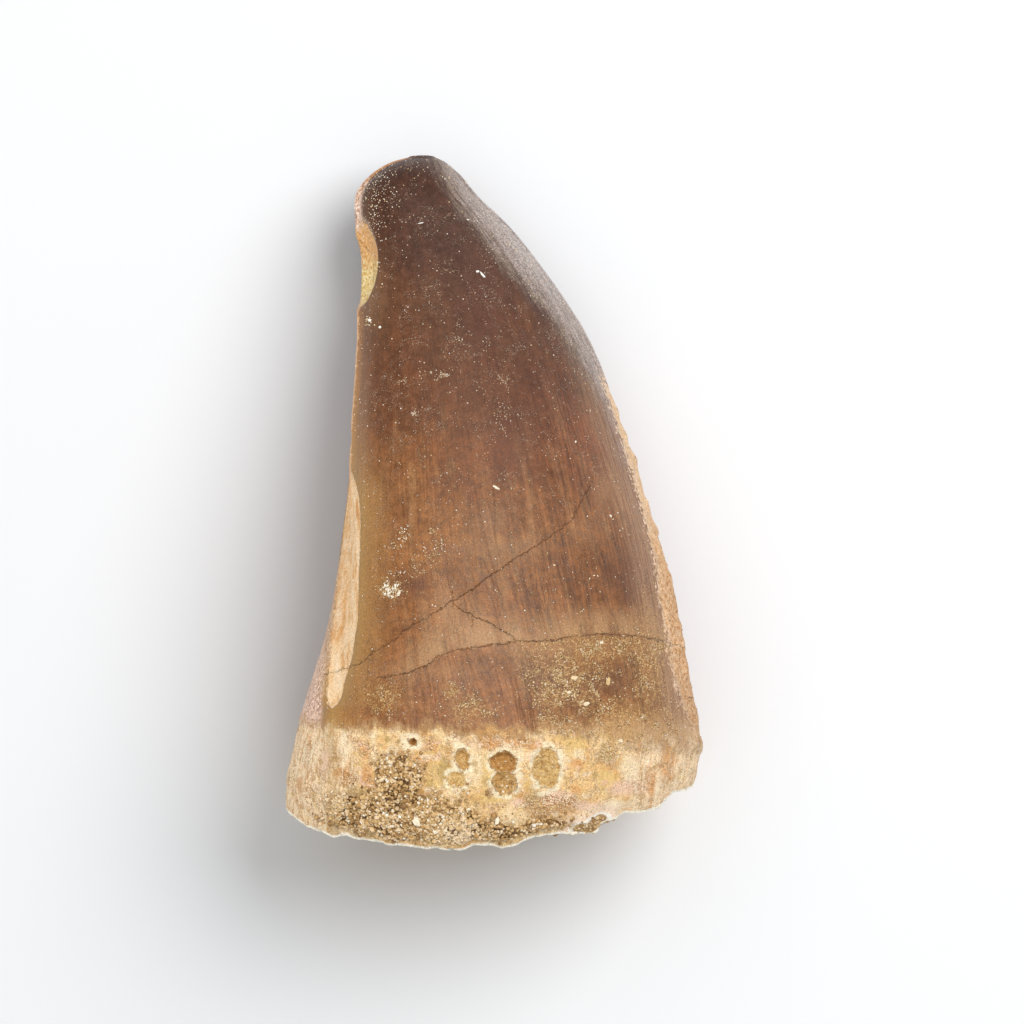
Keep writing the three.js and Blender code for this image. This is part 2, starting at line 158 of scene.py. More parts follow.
# Hairline cracks: name, side, the axis that they run along, 0 for x and 1 for y, and points as x and y.
CRACKS = [
    ("across", "face", 0, [
        (-12.0, -12.35), (-10.45, -11.85), (-9.15, -11.45), (-8.15, -10.6), (-7.2, -9.95), (-6.1, -9.2),
        (-5.4, -8.7), (-4.2, -8.05), (-3.3, -7.4), (-2.1, -6.8), (-1.5, -6.4), (0.1, -5.2), (1.0, -4.5),
        (3.3, -3.1), (5.8, -1.3), (6.9, 0.8), (7.4, 1.9),
    ]),
    ("fork", "face", 0, [
        (-2.65, -7.3), (-2.1, -7.6), (-1.3, -8.0), (0.1, -8.7), (0.9, -9.15), (1.5, -9.5), (1.9, -9.85),
    ]),
    ("low", "face", 0, [
        (-8.2, -12.5), (-6.7, -12.3), (-5.8, -12.1), (-5.1, -11.8), (-4.5, -11.6), (-3.8, -11.0),
        (-2.65, -10.6), (-1.0, -10.3), (0.1, -10.15), (1.75, -9.95), (2.55, -9.9), (6.1, -9.6),
        (7.9, -9.4), (9.6, -9.5), (11.3, -9.7), (12.2, -9.9), (14.4, -10.6),
    ]),
    ("short", "face", 1, [(-2.6, -7.5), (-2.6, -6.2)]),
    ("long", "face", 1, [(-1.3, -9.0), (-1.3, -7.9)]),
    ("ring", "back", 0, [
        (-12.4, -12.3), (-7.4, -12.8), (-3.0, -11.4), (1.5, -12.2), (6.4, -10.6), (11.0, -11.6),
        (14.4, -10.6),
    ]),
    ("split", "back", 1, [(1.5, -12.2), (2.6, -6.0), (1.6, 0.5), (0.6, 4.6)]),
]

# Stains of the bare bone by kind: colour, strength, noise seed, and spots: middle x and y, reach in x and y.
STAINS = {
    "brown": ("c9935c", 0.85, 86, [
        (-4.4, -18.6, 0.9, 1.2), (4.6, -21.6, 2.0, 1.1), (2.8, -21.2, 0.9, 0.8),
        (-10.4, -19.6, 0.7, 0.7), (0.9, -17.0, 2.4, 0.5), (3.3, -18.3, 0.4, 0.9), (8.3, -18.3, 0.8, 0.8),
    ]),
    "yellow": ("ebc47e", 0.85, 87, [
        (-0.35, -19.2, 0.35, 1.7), (6.0, -17.2, 1.1, 1.0), (-4.2, -17.9, 0.9, 0.3),
        (-9.6, -18.6, 0.6, 0.5), (0.4, -21.0, 1.4, 0.35), (9.9, -18.9, 0.28, 0.4),
        (-3.7, -19.3, 0.9, 1.5), (2.6, -19.6, 0.3, 0.8), (8.2, -19.8, 0.8, 0.9),
    ]),
    "orange": ("e0a061", 0.85, 87, [
        (-8.9, -17.55, 0.42, 1.0), (-8.85, -19.5, 0.4, 1.1), (-4.4, -17.2, 0.5, 0.3),
        (-13.6, -20.3, 0.3, 0.6), (11.4, -20.2, 0.3, 1.0), (-4.6, -18.2, 0.8, 0.2),
        (12.7, -18.6, 0.8, 1.3), (-10.6, -19.3, 0.7, 0.35), (2.9, -17.4, 0.6, 0.3),
        (6.2, -18.5, 0.5, 0.35), (-2.9, -17.6, 0.4, 0.5), (0.4, -17.2, 2.0, 0.3),
    ]),
    "pink": ("f5cbae", 0.85, 85, [
        (6.6, -21.6, 1.1, 0.35), (-7.2, -18.2, 0.35, 0.4), (-11.7, -18.6, 0.5, 1.2),
        (9.8, -20.3, 1.3, 0.55), (4.6, -21.0, 1.2, 0.5), (3.0, -18.2, 0.35, 0.45),
        (1.9, -21.3, 0.5, 0.35),
    ]),
    "white": ("fce6c2", 0.6, 86, [
        (-10.4, -17.4, 0.7, 1.0), (-5.6, -17.15, 1.0, 0.6), (-1.1, -18.8, 0.43, 1.75),
        (0.9, -17.72, 0.9, 0.13), (2.1, -17.8, 0.3, 0.5), (5.1, -18.9, 0.28, 1.2),
        (9.9, -19.0, 0.7, 0.85), (6.3, -17.9, 0.4, 0.35), (6.1, -19.3, 0.25, 0.35),
        (-7.0, -17.6, 0.5, 0.5), (9.3, -21.6, 1.6, 0.3),
    ]),
    "olive": ("c09d5e", 0.85, 86, [
        (-3.1, -18.8, 0.6, 1.3), (8.2, -17.9, 0.55, 0.65), (-0.33, -19.8, 0.22, 0.25),
        (-9.6, -20.6, 0.9, 0.4), (3.0, -20.9, 0.6, 0.7), (7.4, -19.4, 0.3, 0.4), (-7.3, -16.9, 0.4, 0.3),
    ]),
}

# Sand and dust that cling to the enamel: middle x and y, reach in x and y, grains, and size. Those below
# VEIL_TOP also tint the enamel around them.
VEIL_TOP = -5
CLINGING = [
    (7.3, -10.6, 2.8, 0.6, 700, 0.08), (5.6, -11.9, 2.5, 1.6, 1300, 0.09),
    (4.4, -13.8, 1.0, 1.0, 500, 0.1), (6.7, -13.9, 0.9, 0.7, 350, 0.11),
    (11.4, -11.8, 1.1, 3.4, 900, 0.08), (9.5, -15.6, 3.2, 1.4, 900, 0.09),
    (4.9, -15.6, 1.8, 0.7, 260, 0.09), (-1.4, -14.7, 1.2, 0.8, 300, 0.09),
    (-2.8, -13.4, 0.5, 0.5, 70, 0.1), (-7.6, -13.9, 1.3, 1.0, 260, 0.08),
    (-7.1, -6.2, 0.7, 0.6, 160, 0.08), (-6.4, -2.8, 0.5, 0.5, 70, 0.09),
    (-4.1, -2.0, 0.3, 0.25, 30, 0.1), (-3.9, -3.7, 1.4, 0.9, 160, 0.07),
    (-5.7, -4.6, 1.6, 1.0, 160, 0.07), (-8.8, 13.0, 0.3, 0.3, 20, 0.12),
    (-3.9, 9.1, 0.5, 0.3, 70, 0.075), (-6.0, 8.6, 0.6, 0.3, 40, 0.06), (-5.4, 6.4, 0.4, 0.3, 40, 0.07),
    (0.8, 6.0, 0.6, 1.0, 60, 0.06), (1.0, 8.6, 0.7, 0.7, 60, 0.06), (-2.0, 12.0, 1.2, 0.8, 80, 0.06),
    (3.5, 9.0, 3.0, 5.0, 260, 0.05), (-3.0, 4.0, 4.0, 6.0, 300, 0.05),
]
PALE_DUST = [
    (-7.9, 22.0, 1.0, 1.7, 170, 0.07), (-8.5, 20.6, 0.7, 1.5, 90, 0.07),
    (-8.0, 18.6, 0.6, 1.6, 40, 0.07), (-4.6, 23.9, 1.6, 0.6, 40, 0.07),
    (-7.25, -6.3, 0.3, 0.42, 75, 0.13), (-6.65, -6.3, 0.2, 0.34, 36, 0.13),
    (-6.5, -5.1, 0.7, 0.4, 26, 0.08), (-6.3, -2.4, 0.28, 0.45, 44, 0.09),
    (-3.9, -3.3, 0.9, 0.5, 40, 0.08),
]

# Broad tones in the enamel: middle x and y, reach in x and y, and how much lighter, or darker if negative.
SMUDGES = [
    (-6.6, -5.9, 2.4, 1.0, -0.5), (-7.8, -7.6, 1.2, 0.9, -0.35), (-8.3, -14.3, 1.6, 0.7, -0.35),
    (8.2, 0.8, 1.0, 1.3, 0.3), (0.4, -3.3, 3.6, 0.9, 0.3), (0.0, -1.3, 1.3, 0.9, 0.4),
    (-3.2, -7.4, 0.9, 1.6, 0.45), (5.2, -10.3, 5.5, 0.7, 0.35), (-4.0, -12.1, 5.0, 0.8, 0.22),
    (2.3, 5.2, 1.6, 4.2, -0.5), (6.5, -2.0, 1.4, 1.0, 0.2), (4.6, -12.4, 2.2, 0.8, -0.25),
    (9.0, -6.0, 1.2, 1.5, -0.2), (-0.3, 8.5, 2.0, 9.0, -0.22), (-8.9, 21.0, 0.6, 2.0, 0.1),
    (-5.0, -5.9, 1.0, 0.9, -0.3), (7.6, -12.8, 1.8, 1.0, -0.7), (4.0, -12.1, 1.3, 0.9, -0.6),
    (10.4, -4.9, 1.0, 2.0, -0.8), (-0.6, 14.5, 1.6, 2.6, -0.6), (3.0, -9.9, 1.2, 0.4, 0.25),
    (-8.2, -8.5, 0.9, 0.9, -0.16), (-3.9, -10.4, 0.9, 0.5, -0.14), (-8.4, 15.0, 1.0, 3.0, 0.2),
    (-9.3, 5.0, 0.7, 7.0, 0.3),
]
# Larger grains and splinters: x, y, length, width, turn in degrees and tint.
SAND_BITS = [
    (0.4, 1.0, 0.62, 0.18, -30, 0.86), (-0.95, 16.6, 0.26, 0.18, 0, 1.0),
    (-0.6, 16.3, 0.55, 0.16, -50, 1.0), (-8.6, 12.9, 0.32, 0.24, 0, 0.95),
    (-5.0, 19.9, 0.42, 0.08, 10, 1.0), (-1.7, 20.2, 0.25, 0.08, 0, 1.0),
    (6.1, 4.3, 0.22, 0.12, 60, 0.95), (0.5, -22.6, 0.75, 0.38, 80, 0.86),
    (-6.75, -18.2, 0.5, 0.28, 70, 0.97), (1.95, -19.0, 0.7, 0.3, 35, 0.8),
    (5.9, -12.5, 0.5, 0.4, 0, 0.72), (8.4, -12.7, 0.6, 0.3, 85, 0.6), (6.8, -14.3, 0.5, 0.3, 20, 0.8),
    (5.6, -13.6, 0.3, 0.25, 0, 0.8), (7.8, -9.9, 0.3, 0.2, 0, 0.85), (9.2, -17.0, 0.35, 0.3, 0, 0.8),
    (-5.3, -22.5, 1.15, 0.6, -60, 0.86), (-7.9, 12.6, 0.2, 0.2, 0, 1.0),
    (-8.1, -22.4, 0.5, 0.4, 10, 0.55), (-8.9, -20.9, 0.9, 0.45, 5, 0.5),
    (-3.6, -23.3, 0.9, 0.4, 15, 0.88), (-1.6, -22.6, 0.5, 0.4, 0, 0.75),
    (-10.9, -22.0, 0.6, 0.45, 30, 0.7), (-6.2, -19.4, 0.45, 0.35, 0, 0.78),
    (-7.4, -5.95, 0.4, 0.14, 30, 0.9), (-6.5, -6.6, 0.32, 0.2, 40, 0.92),
    (-6.95, -6.7, 0.34, 0.14, -20, 0.86), (7.3, -5.3, 0.34, 0.07, 15, 0.86),
    (7.0, -5.5, 0.26, 0.07, 65, 0.84), (7.6, -5.15, 0.24, 0.07, -40, 0.84),
    (8.55, -1.0, 0.2, 0.16, 0, 0.95), (8.75, -1.25, 0.16, 0.1, 40, 0.8), (4.6, -4.6, 0.18, 0.12, 0, 0.8),
]

OUTSIDE = -9  # stands for well outside, where a distance isn't worked out

# ---------------------------------------------------------------- helpers

def smooth(value, low, high):
    """Rises smoothly from 0 at low to 1 at high."""
    t = np.clip((value - low) / (high - low), 0, 1)
    return t * t * (3 - 2 * t)


def hashed(cells, seed):
    """A repeatable number from 0 to 1 for each whole-number cell."""
    n = cells[..., 0] * 374761393 + cells[..., 1] * 668265263 + cells[..., 2] * 144269504
    n = (n + seed * 97531) % 2**32
    n = (n ^ (n >> 13)) * 1274126177 % 2**32
    n = (n ^ (n >> 15)) * 1103515245 % 2**32
    return (n ^ (n >> 16)) / 2**32


def noise(points, size, seed=0):
    """Smooth noise from -1 to 1, with lumps about size across."""
    p = np.asarray(points) / size
    cell = np.floor(p).astype(np.int64)
    part = p - cell
    part = part * part * (3 - 2 * part)
    total = 0
    for corner in product((0, 1), repeat=3):
        corner = np.array(corner)
        weight = np.prod(np.where(corner, part, 1 - part), axis=-1)
        total = total + weight * hashed(cell + corner, seed)
    return 2 * total - 1


def fractal(points, size, octaves, seed=0):
    """Noise with finer and weaker layers added."""
    layers = [noise(points, size / 2**k, seed + k) / 1.9**k for k in range(octaves)]
    return sum(layers)


def cells(points, size, seed=0):
    """Distance to the nearest of many scattered points, in units of size."""
    p = np.asarray(points) / size
    cell = np.floor(p).astype(np.int64)
    best = np.full(p.shape[:-1], 9.0)
    for step in product((-1, 0, 1), repeat=3):
        there = cell + np.array(step)
        spot = there + np.stack([hashed(there, seed + k) for k in range(3)], axis=-1)
        best = np.minimum(best, np.linalg.norm(p - spot, axis=-1))
    return best


def through(table, at, column=1):
    """A value from a table of points, whose first column is the place along it."""
    return np.interp(at, [row[0] for row in table], [row[column] for row in table])


def ring_values(place):
    """Smooth curves through the ring table, at places such as 2.4."""
    at = np.clip(np.floor(place).astype(int), 0, len(RINGS) - 2)
    p = (place - at)[..., None]
    a, b, c, d = (RINGS[np.clip(at + k, 0, len(RINGS) - 1)] for k in (-1, 0, 1, 2))
    return b + 0.5 * p * (c - a + p * (2 * a - 5 * b + 4 * c - d + p * (3 * (b - c) + d - a)))


def signed_power(value, power):
    return np.sign(value) * np.abs(value) ** power


def bell(turn, ridge, spread):
    """A rise round a ridge, from 1 on it to 0 away from it; all in degrees."""
    away = (turn - ridge + 540) % 360 - 180
    return np.exp(-((away / spread) ** 2))


def end_at(x, z, face):
    """Where the root's broken end lies."""
    return through(END_LINE, x) + END_UNDERCUT * (face - z)


def lumps(p):
    """Lumps of the root: broad waves with weaker, finer ones over them."""
    x, y, z = p[..., 0], p[..., 1], p[..., 2]
    coarse = np.sin(1.9 * x + 0.8 * z) * np.sin(1.4 * y - 0.6 * x + 1)
    return coarse + 0.6 * np.sin(2.7 * z + 1.1 * y) * np.sin(2.3 * x - 1.7)


def ring_grid(places, columns):
    """Points of the tooth's plain form: a row for each place, a column for each share of the way round.
    Shares run 0 to 1 over the face from the right ridge to the left one, and 1 to 2 round the back.
    Also says how high each point is above its ring's widest line."""
    y, left, right, face, back, waist, ridge_left, ridge_right = (
        v[:, None] for v in ring_values(places).T
    )
    on_face = columns[None, :] < 1
    share = columns[None, :] % 1
    turn = np.where(
        on_face,
        ridge_right + (ridge_left - ridge_right) * share,
        ridge_left + (ridge_right + 360 - ridge_left) * share,
    )
    c, s = np.cos(np.radians(turn)), np.sin(np.radians(turn))
    middle = left + (right - left) * MIDDLE_SHARE
    widest = back + (face - back) * np.where(c < 0, waist, RIGHT_WAIST)
    wide = np.where(c < 0, middle - left, right - middle)
    high = np.where(s > 0, face - widest, widest - back)
    power = np.where(s < 0, BACK_POWER, np.where(c < 0, FACE_POWER, SHOULDER_POWER))
    x = middle + wide * signed_power(c, 2 / power)
    z = widest + high * signed_power(s, 2 / power)
    low, top = RINGS[0, 0], RINGS[ROOT_TOP_RING, 0]
    bent = end_at(x, z, face)
    bent = bent + (top - bent) * (y - low) / (top - low)
    p = np.stack([x, np.where(places[:, None] < ROOT_TOP_RING, bent, y), z], axis=-1)

    # The cutting ridges, where they are worn away, the crest of the shoulder and the dent below the tip.
    y = p[..., 1]
    strip_end = WORN_LEFT[0][0]
    worn = smooth(y, strip_end, strip_end + WORN_STRIP["blend"])
    worn = worn * (1 - smooth(y, WORN_STRIP["fades"], WORN_STRIP["high"]))
    out = LEFT_RIDGE["height"] * (1 - worn) * bell(turn, ridge_left, LEFT_RIDGE["spread"])
    out -= WORN_STRIP["depth"] * worn * bell(turn, ridge_left, WORN_STRIP["spread"])
    chipped = 1 - smooth(y, NICKED["full"], NICKED["ends"])
    nicks = 1 - chipped * (0.5 + 0.5 * np.sin(2.6 * y) * np.sin(1.1 * y + 0.7))
    whole = 1 - smooth(y, RIGHT_RIDGE["fades"], RIGHT_RIDGE["ends"])
    out += RIGHT_RIDGE["height"] * nicks * bell(turn, ridge_right, RIGHT_RIDGE["spread"]) * whole
    crown = smooth(y - through(MARGIN_LINE, x), -CROWN_BLEND, CROWN_BLEND)
    out -= (1 - crown) * (CROWN_STEP - ROOT_LUMPS * lumps(p))
    crest = np.exp(-(((x - through(CREST_LINE, y)) / CREST["spread"]) ** 2)) * (s > 0)
    crest = crest * smooth(y, CREST["starts"], CREST["full"])
    out += CREST["height"] * crest * (1 - smooth(y, CREST["fades"], CREST["ends"]))
    out -= DENT["depth"] * np.exp(-np.sum(((p - DENT["at"]) / DENT["reach"]) ** 2, axis=-1))
    away = np.stack([c / wide, 0 * c, s / high], axis=-1)
    away /= np.linalg.norm(away, axis=-1, keepdims=True)
    return p + away * out[..., None], z - widest


def crowd(count, amount):
    """Evenly counted shares from 0 to 1, drawn towards both ends."""
    share = np.arange(count) / count
    return share - amount * np.sin(2 * np.pi * share) / (2 * np.pi)


FACE_COLUMNS, BACK_COLUMNS = 200, 104
columns = np.concatenate([crowd(FACE_COLUMNS, 0.2), 1 + crowd(BACK_COLUMNS, 0.25)])
FINE_BELOW, FINE_ABOVE = -14.0, 22.0  # rows are closer together over the root and at the tip
ROOT_ROW_STEP, CROWN_ROW_STEP, TIP_ROWS = 0.105, 0.25, 22


def row_places():
    """Ring places for the rows of points."""
    fine = np.linspace(0, len(RINGS) - 1, 4000)
    y = ring_values(fine)[:, 0]
    wanted = np.concatenate([
        np.arange(RINGS[0, 0], FINE_BELOW, ROOT_ROW_STEP),
        np.arange(FINE_BELOW, FINE_ABOVE, CROWN_ROW_STEP),
        np.linspace(FINE_ABOVE, RINGS[-1, 0], TIP_ROWS),
    ])
    return np.interp(wanted, y, fine)


def tooth_grid():
    """The whole closed surface as rows of points, from the middle of the broken end to the tip."""
    body, height = ring_grid(row_places(), columns)
    rim = body[0]
    core = rim.mean(axis=0)
    face = RINGS[0, 3]
    inner, outer = np.linspace(0, 0.5, 14, endpoint=False), np.linspace(0.5, 1, 30, endpoint=False)
    end_shares = np.concatenate([inner, outer])
    end = core + (rim - core) * end_shares[:, None, None]
    end[..., 1] = end_at(end[..., 0], end[..., 2], face) + END_HOLLOW * (1 - end_shares**4)[:, None]
    end[0, :, 1] = end[0, :, 1].mean()
    bend = np.linspace(0, math.pi / 2, 8)[1:, None, None]
    top = body[-1]
    cap = top + (TIP - top) * np.concatenate([1 - np.cos(bend), np.sin(bend), 1 - np.cos(bend)], axis=-1)
    end_height = np.repeat(height[:1], len(end), axis=0)
    cap_height = np.repeat(height[-1:], len(cap), axis=0)
    return np.concatenate([end, body, cap]), np.concatenate([end_height, height, cap_height]), len(end)


def grid_normals(grid):
    """Outward directions of a grid whose columns close on themselves, and whose ends close on a point."""
    along = np.gradient(grid, axis=0)
    across = np.roll(grid, -1, axis=1) - np.roll(grid, 1, axis=1)
    n = np.cross(across, along)
    n /= np.maximum(np.linalg.norm(n, axis=-1, keepdims=True), 1e-9)
    if np.sum(n * (grid - grid.mean(axis=(0, 1)))) < 0:
        n = -n
    n[0], n[-1] = (0, -1, 0), (0, 1, 0)
    return n


def sink_into(points, normals, hollow):
    """How far a point inside an ellipsoid sinks, against its normal, to reach the far side."""
    at, reach = (np.array(v) for v in hollow)
    q, d = (points - at) / reach, -normals / reach
    a, b, c = np.sum(d * d, -1), np.sum(q * d, -1), np.sum(q * q, -1) - 1
    return np.where(c < 0, (-b + np.sqrt(np.maximum(b * b - a * c, 0))) / a, 0)


def inside(points, ellipsoid):
    """Roughly how many millimetres a point is inside an ellipsoid; negative outside."""
    at, reach = (np.array(v) for v in ellipsoid)
    return (1 - np.linalg.norm((points - at) / reach, axis=-1)) * min(reach)


def crack_facts(p, face, along, line):
    """Signed distance from a hairline crack, how open the crack is there, from 0 to 1, and a zero."""
    run, off = p[..., along], p[..., 1 - along]
    wander = 0.1 * fractal(p, 0.9, 3, 21 + len(line))
    run_at, off_at = np.array([(q[along], q[1 - along]) for q in line]).T
    distance = off - np.interp(run, run_at, off_at) + wander
    slope = np.interp(run, (run_at[1:] + run_at[:-1]) / 2, np.diff(off_at) / np.diff(run_at))
    distance = distance / np.sqrt(1 + slope**2)
    opened = smooth(run, run_at[0] - 0.1, run_at[0] + 0.4)
    opened = opened * (1 - smooth(run, run_at[-1] - 0.4, run_at[-1] + 0.1))
    return np.stack([distance, opened * face, 0 * distance], axis=-1)


def stain_facts(p, seed, spots):
    """How strongly the bone is stained, from 0 to 1, with ragged outlines."""
    ragged = 0.4 * fractal(p, 0.9, 4, seed)
    value = np.zeros(p.shape[:-1])
    for x, y, wide, high in spots:
        away = np.hypot((p[..., 0] - x) / wide, (p[..., 1] - y) / high) + ragged
        value = np.maximum(value, 1 - smooth(away, 0.45, 1.3))
    return value * smooth(p[..., 2], 8, 12)


def cluster(p, x, y, wide, high):
    """The share of a spot of clinging sand, from 1 in its middle to 0 well outside it."""
    return np.exp(-((p[..., 0] - x) / wide) ** 2 - ((p[..., 1] - y) / high) ** 2)


class Tooth:
    """The tooth's grid of points, its finished surface, and what its materials need to know at each point."""

    def __init__(self):
        grid, height, end_rows = tooth_grid()
        self.plain, self.normals = grid, grid_normals(grid)
        x, y, z = (grid[..., k] for k in range(3))
        angle = np.pi * columns[None, :] + 0 * y
        self.flow = np.stack([10 * np.cos(angle), 10 * np.sin(angle), y], axis=-1)
        self.upper = smooth(height, -1.0, 0.5)
        self.broken = np.zeros(y.shape)
        self.broken[:end_rows] = 1
        self.left_arc = self.arc_from_left_ridge()

        margin = y - through(MARGIN_LINE, x) + 1.4 * (1 - self.upper)
        self.margin = np.where(self.broken > 0, OUTSIDE, margin)
        from_rim = np.linalg.norm(grid - grid[end_rows], axis=-1)
        self.edge = np.where(self.broken > 0, -from_rim, y - end_at(x, z, RINGS[0, 3]))
        strip = through(WORN_LEFT, y, 2) - np.abs(x - through(WORN_LEFT, y))
        self.strip = np.where(x < 0, strip - 0.8 * np.maximum(-height, 0), OUTSIDE)
        self.right_edge = x - through(WORN_RIGHT, y)
        ragged = 0.5 * fractal(grid, 1.6, 3, 58)
        limits = [0.35 * (9.3 - y) + 0.6 * ragged, 0.6 * (height + 1.7 + ragged)]
        self.worn = np.min([self.right_edge] + limits, axis=0)
        self.chip = inside(grid, CHIP_OUTLINE)
        wobble = np.stack([noise(grid, 0.55, 54), noise(grid, 0.55, 55), 0 * x], axis=-1)
        fine_wobble = np.stack([noise(grid, 0.26, 56), noise(grid, 0.26, 57), 0 * x], axis=-1)
        self.wobbly = grid + 0.24 * wobble + 0.1 * fine_wobble
        pits = np.array([self.inside_pit(pit) for pit in PITS])
        self.pit = pits.max(axis=0)
        nearest = np.array(PITS)[pits.argmax(axis=0)]
        self.pit_depth, self.pit_tone = nearest[..., 4], nearest[..., 5]
        self.notch = np.max([inside(grid, part) for part in NOTCH], axis=0)
        self.past_crest = np.where(self.upper > 0.02, x - through(CREST_LINE, y), 0) * smooth(y, 0, 4)
        self.flank = smooth(through(WORN_LEFT, y) - x, 0.55, 0.95) * self.upper * (1 - smooth(y, -6, 0))
        self.crust = np.max([inside(grid, lump) for lump in CRUST_LUMPS], axis=0)
        self.crust = np.minimum(self.crust + 0.45 * fractal(grid, 1.9, 4, 41), self.edge - 0.4)
        self.points = self.carved()

    def inside_pit(self, pit):
        """Roughly how many millimetres a point is inside a pit's outline; negative outside."""
        x, y, wide, high = pit[:4]
        away = np.hypot((self.wobbly[..., 0] - x) / wide, (self.wobbly[..., 1] - y) / high)
        return np.where(self.upper > 0.5, (1 - away) * min(wide, high), OUTSIDE)

    def arc_from_left_ridge(self):
        """The way round the tooth from its left ridge, negative over the face."""
        steps = np.linalg.norm(np.roll(self.plain, -1, axis=1) - self.plain, axis=-1)
        arc = np.cumsum(steps, axis=1) - steps
        return arc - arc[:, FACE_COLUMNS][:, None]

    def carved(self):
        """The surface with its fine relief, worn places, chip, pits and broken rim."""
        p, flow, n = self.plain, self.flow, self.normals
        bone = 1 - smooth(self.margin + 0.25 * fractal(flow * (1, 1, 0.2), 1.4, 3, 51), -0.45, 0.3)
        out = 0.04 * noise(p, 5.5, 61) + 0.012 * fractal(flow * (1, 1, 0.06), 1.0, 3, 62)
        fibres = fractal(flow * (1, 1, 0.2), 0.8, 3, 63)
        rough = fractal(p, 1.5, 4, 64)
        flank = smooth(np.abs(p[..., 0]), 9, 13)
        pores = -0.14 * (1 - smooth(cells(p, 0.7, 65), 0.12, 0.32)) * smooth(noise(p, 2.5, 66), -0.2, 0.5)
        out += bone * (0.055 * rough + (0.03 + 0.05 * flank) * fibres + pores)
        out += self.broken * smooth(-self.edge, 0.1, 1.4) * (0.18 * (rough - 0.9) + 1.2 * pores)
        out += 0.04 * smooth(self.margin, -0.35, 0.15) * (1 - smooth(self.margin, 0.3, 1.2))
        out += smooth(self.worn, 0, 0.5) * (0.16 * fractal(p * (1, 0.6, 1), 0.9, 4, 67) - 0.08)
        out -= 0.12 * smooth(self.strip, -0.05, 0.12)
        out += 0.04 * smooth(self.strip, 0, 0.3) * fractal(p, 0.9, 3, 68)
        out += 0.06 * np.exp(-(((self.pit + 0.2) / 0.2) ** 2))
        out -= 0.4 * smooth(self.crust, 0.1, 0.8)
        out -= sink_into(p, n, CHIP) * (1 + 0.1 * fractal(p, 0.9, 3, 69))
        out -= (1 - NOTCH_FILLED) * sum(sink_into(p, n, hollow) for hollow in NOTCH)
        out -= sum(sink_into(p, n, hollow) for hollow in RIM_BREAKS)
        out -= smooth(self.pit, 0, 0.2) * self.pit_depth * (1 + 0.2 * fractal(p, 0.5, 3, 71))
        p = p + n * out[..., None]
        frayed = fractal(p * (1, 0.2, 1), 0.8, 4, 70)
        p[..., 1] += 0.09 * frayed * (1 - smooth(self.edge, 0.4, 2.0))
        p[..., 2] = np.maximum(p[..., 2], 0)
        p[0], p[-1] = p[0].mean(axis=0), TIP
        return p

    def facts(self):
        """Named numbers and vectors for the tooth's material."""
        p = self.plain
        x, y = p[..., 0], p[..., 1]
        low, across = (next(c[3] for c in CRACKS if c[0] == name) for name in ("low", "across"))
        above, below = y - through(low, x), through(across, x) - y
        reach = 2.6 + 0.6 * noise(p, 2, 82) + 1.8 * np.exp(-(((x + 2) / 2.2) ** 2))
        band = smooth(above, -0.05, 0.1) * (1 - smooth(above, 0.5, reach))
        band *= np.where(x < -2.6, smooth(below, -0.1, 0.1), 1) * smooth(x, -8, -4) * self.upper
        under_low = smooth(-above, -0.05, 0.15) * (1 - smooth(-above, 0.5, 1.5)) * smooth(x, 0.5, 3.5)
        veils = [cluster(p, *spot[:4]) for spot in CLINGING if spot[1] < VEIL_TOP]
        veil = np.max(veils + [0.8 * under_low], axis=0) * self.upper
        light, dark = (sum(max(k * s[4], 0) * cluster(p, *s[:4]) for s in SMUDGES) for k in (1, -1))
        strip_side = (x - through(WORN_LEFT, y)) / np.maximum(through(WORN_LEFT, y, 2), 0.1)
        floats = {"band": band, "veil": veil, "light": light, "dark": dark, "strip_side": strip_side}
        for name in (
            "margin", "edge", "strip", "worn", "chip", "pit", "pit_tone", "notch", "past_crest", "flank",
            "crust", "broken", "left_arc", "upper", "right_edge",
        ):
            floats[name] = getattr(self, name)
        for kind, (_, _, seed, spots) in STAINS.items():
            floats[kind] = stain_facts(p, seed, spots)
        vectors = {"flow": self.flow}
        for name, side, along, line in CRACKS:
            face = self.upper if side == "face" else 1 - self.upper
            vectors[name] = crack_facts(p, face, along, line)
        return floats, vectors


def grid_faces(rows, count):
    """Quads of a grid whose columns close on themselves, facing out."""
    r, c = np.meshgrid(np.arange(rows - 1), np.arange(count), indexing="ij")
    n = (c + 1) % count
    quads = np.stack([r * count + c, (r + 1) * count + c, (r + 1) * count + n, r * count + n], axis=-1)
    return quads.reshape(-1, 4)


def frame_shift():
    """From the ring table's own origin to the frame's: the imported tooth's box against the plain form's."""
    low, high = (np.array(corner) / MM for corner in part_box("tooth"))
    x = ring_grid(np.linspace(0, len(RINGS) - 1, 200), np.linspace(0, 2, 200, endpoint=False))[0][..., 0]
    return np.array([(low[0] + high[0] - x.min() - x.max()) / 2, high[1] - TIP[1], 0])


SHIFT = frame_shift()


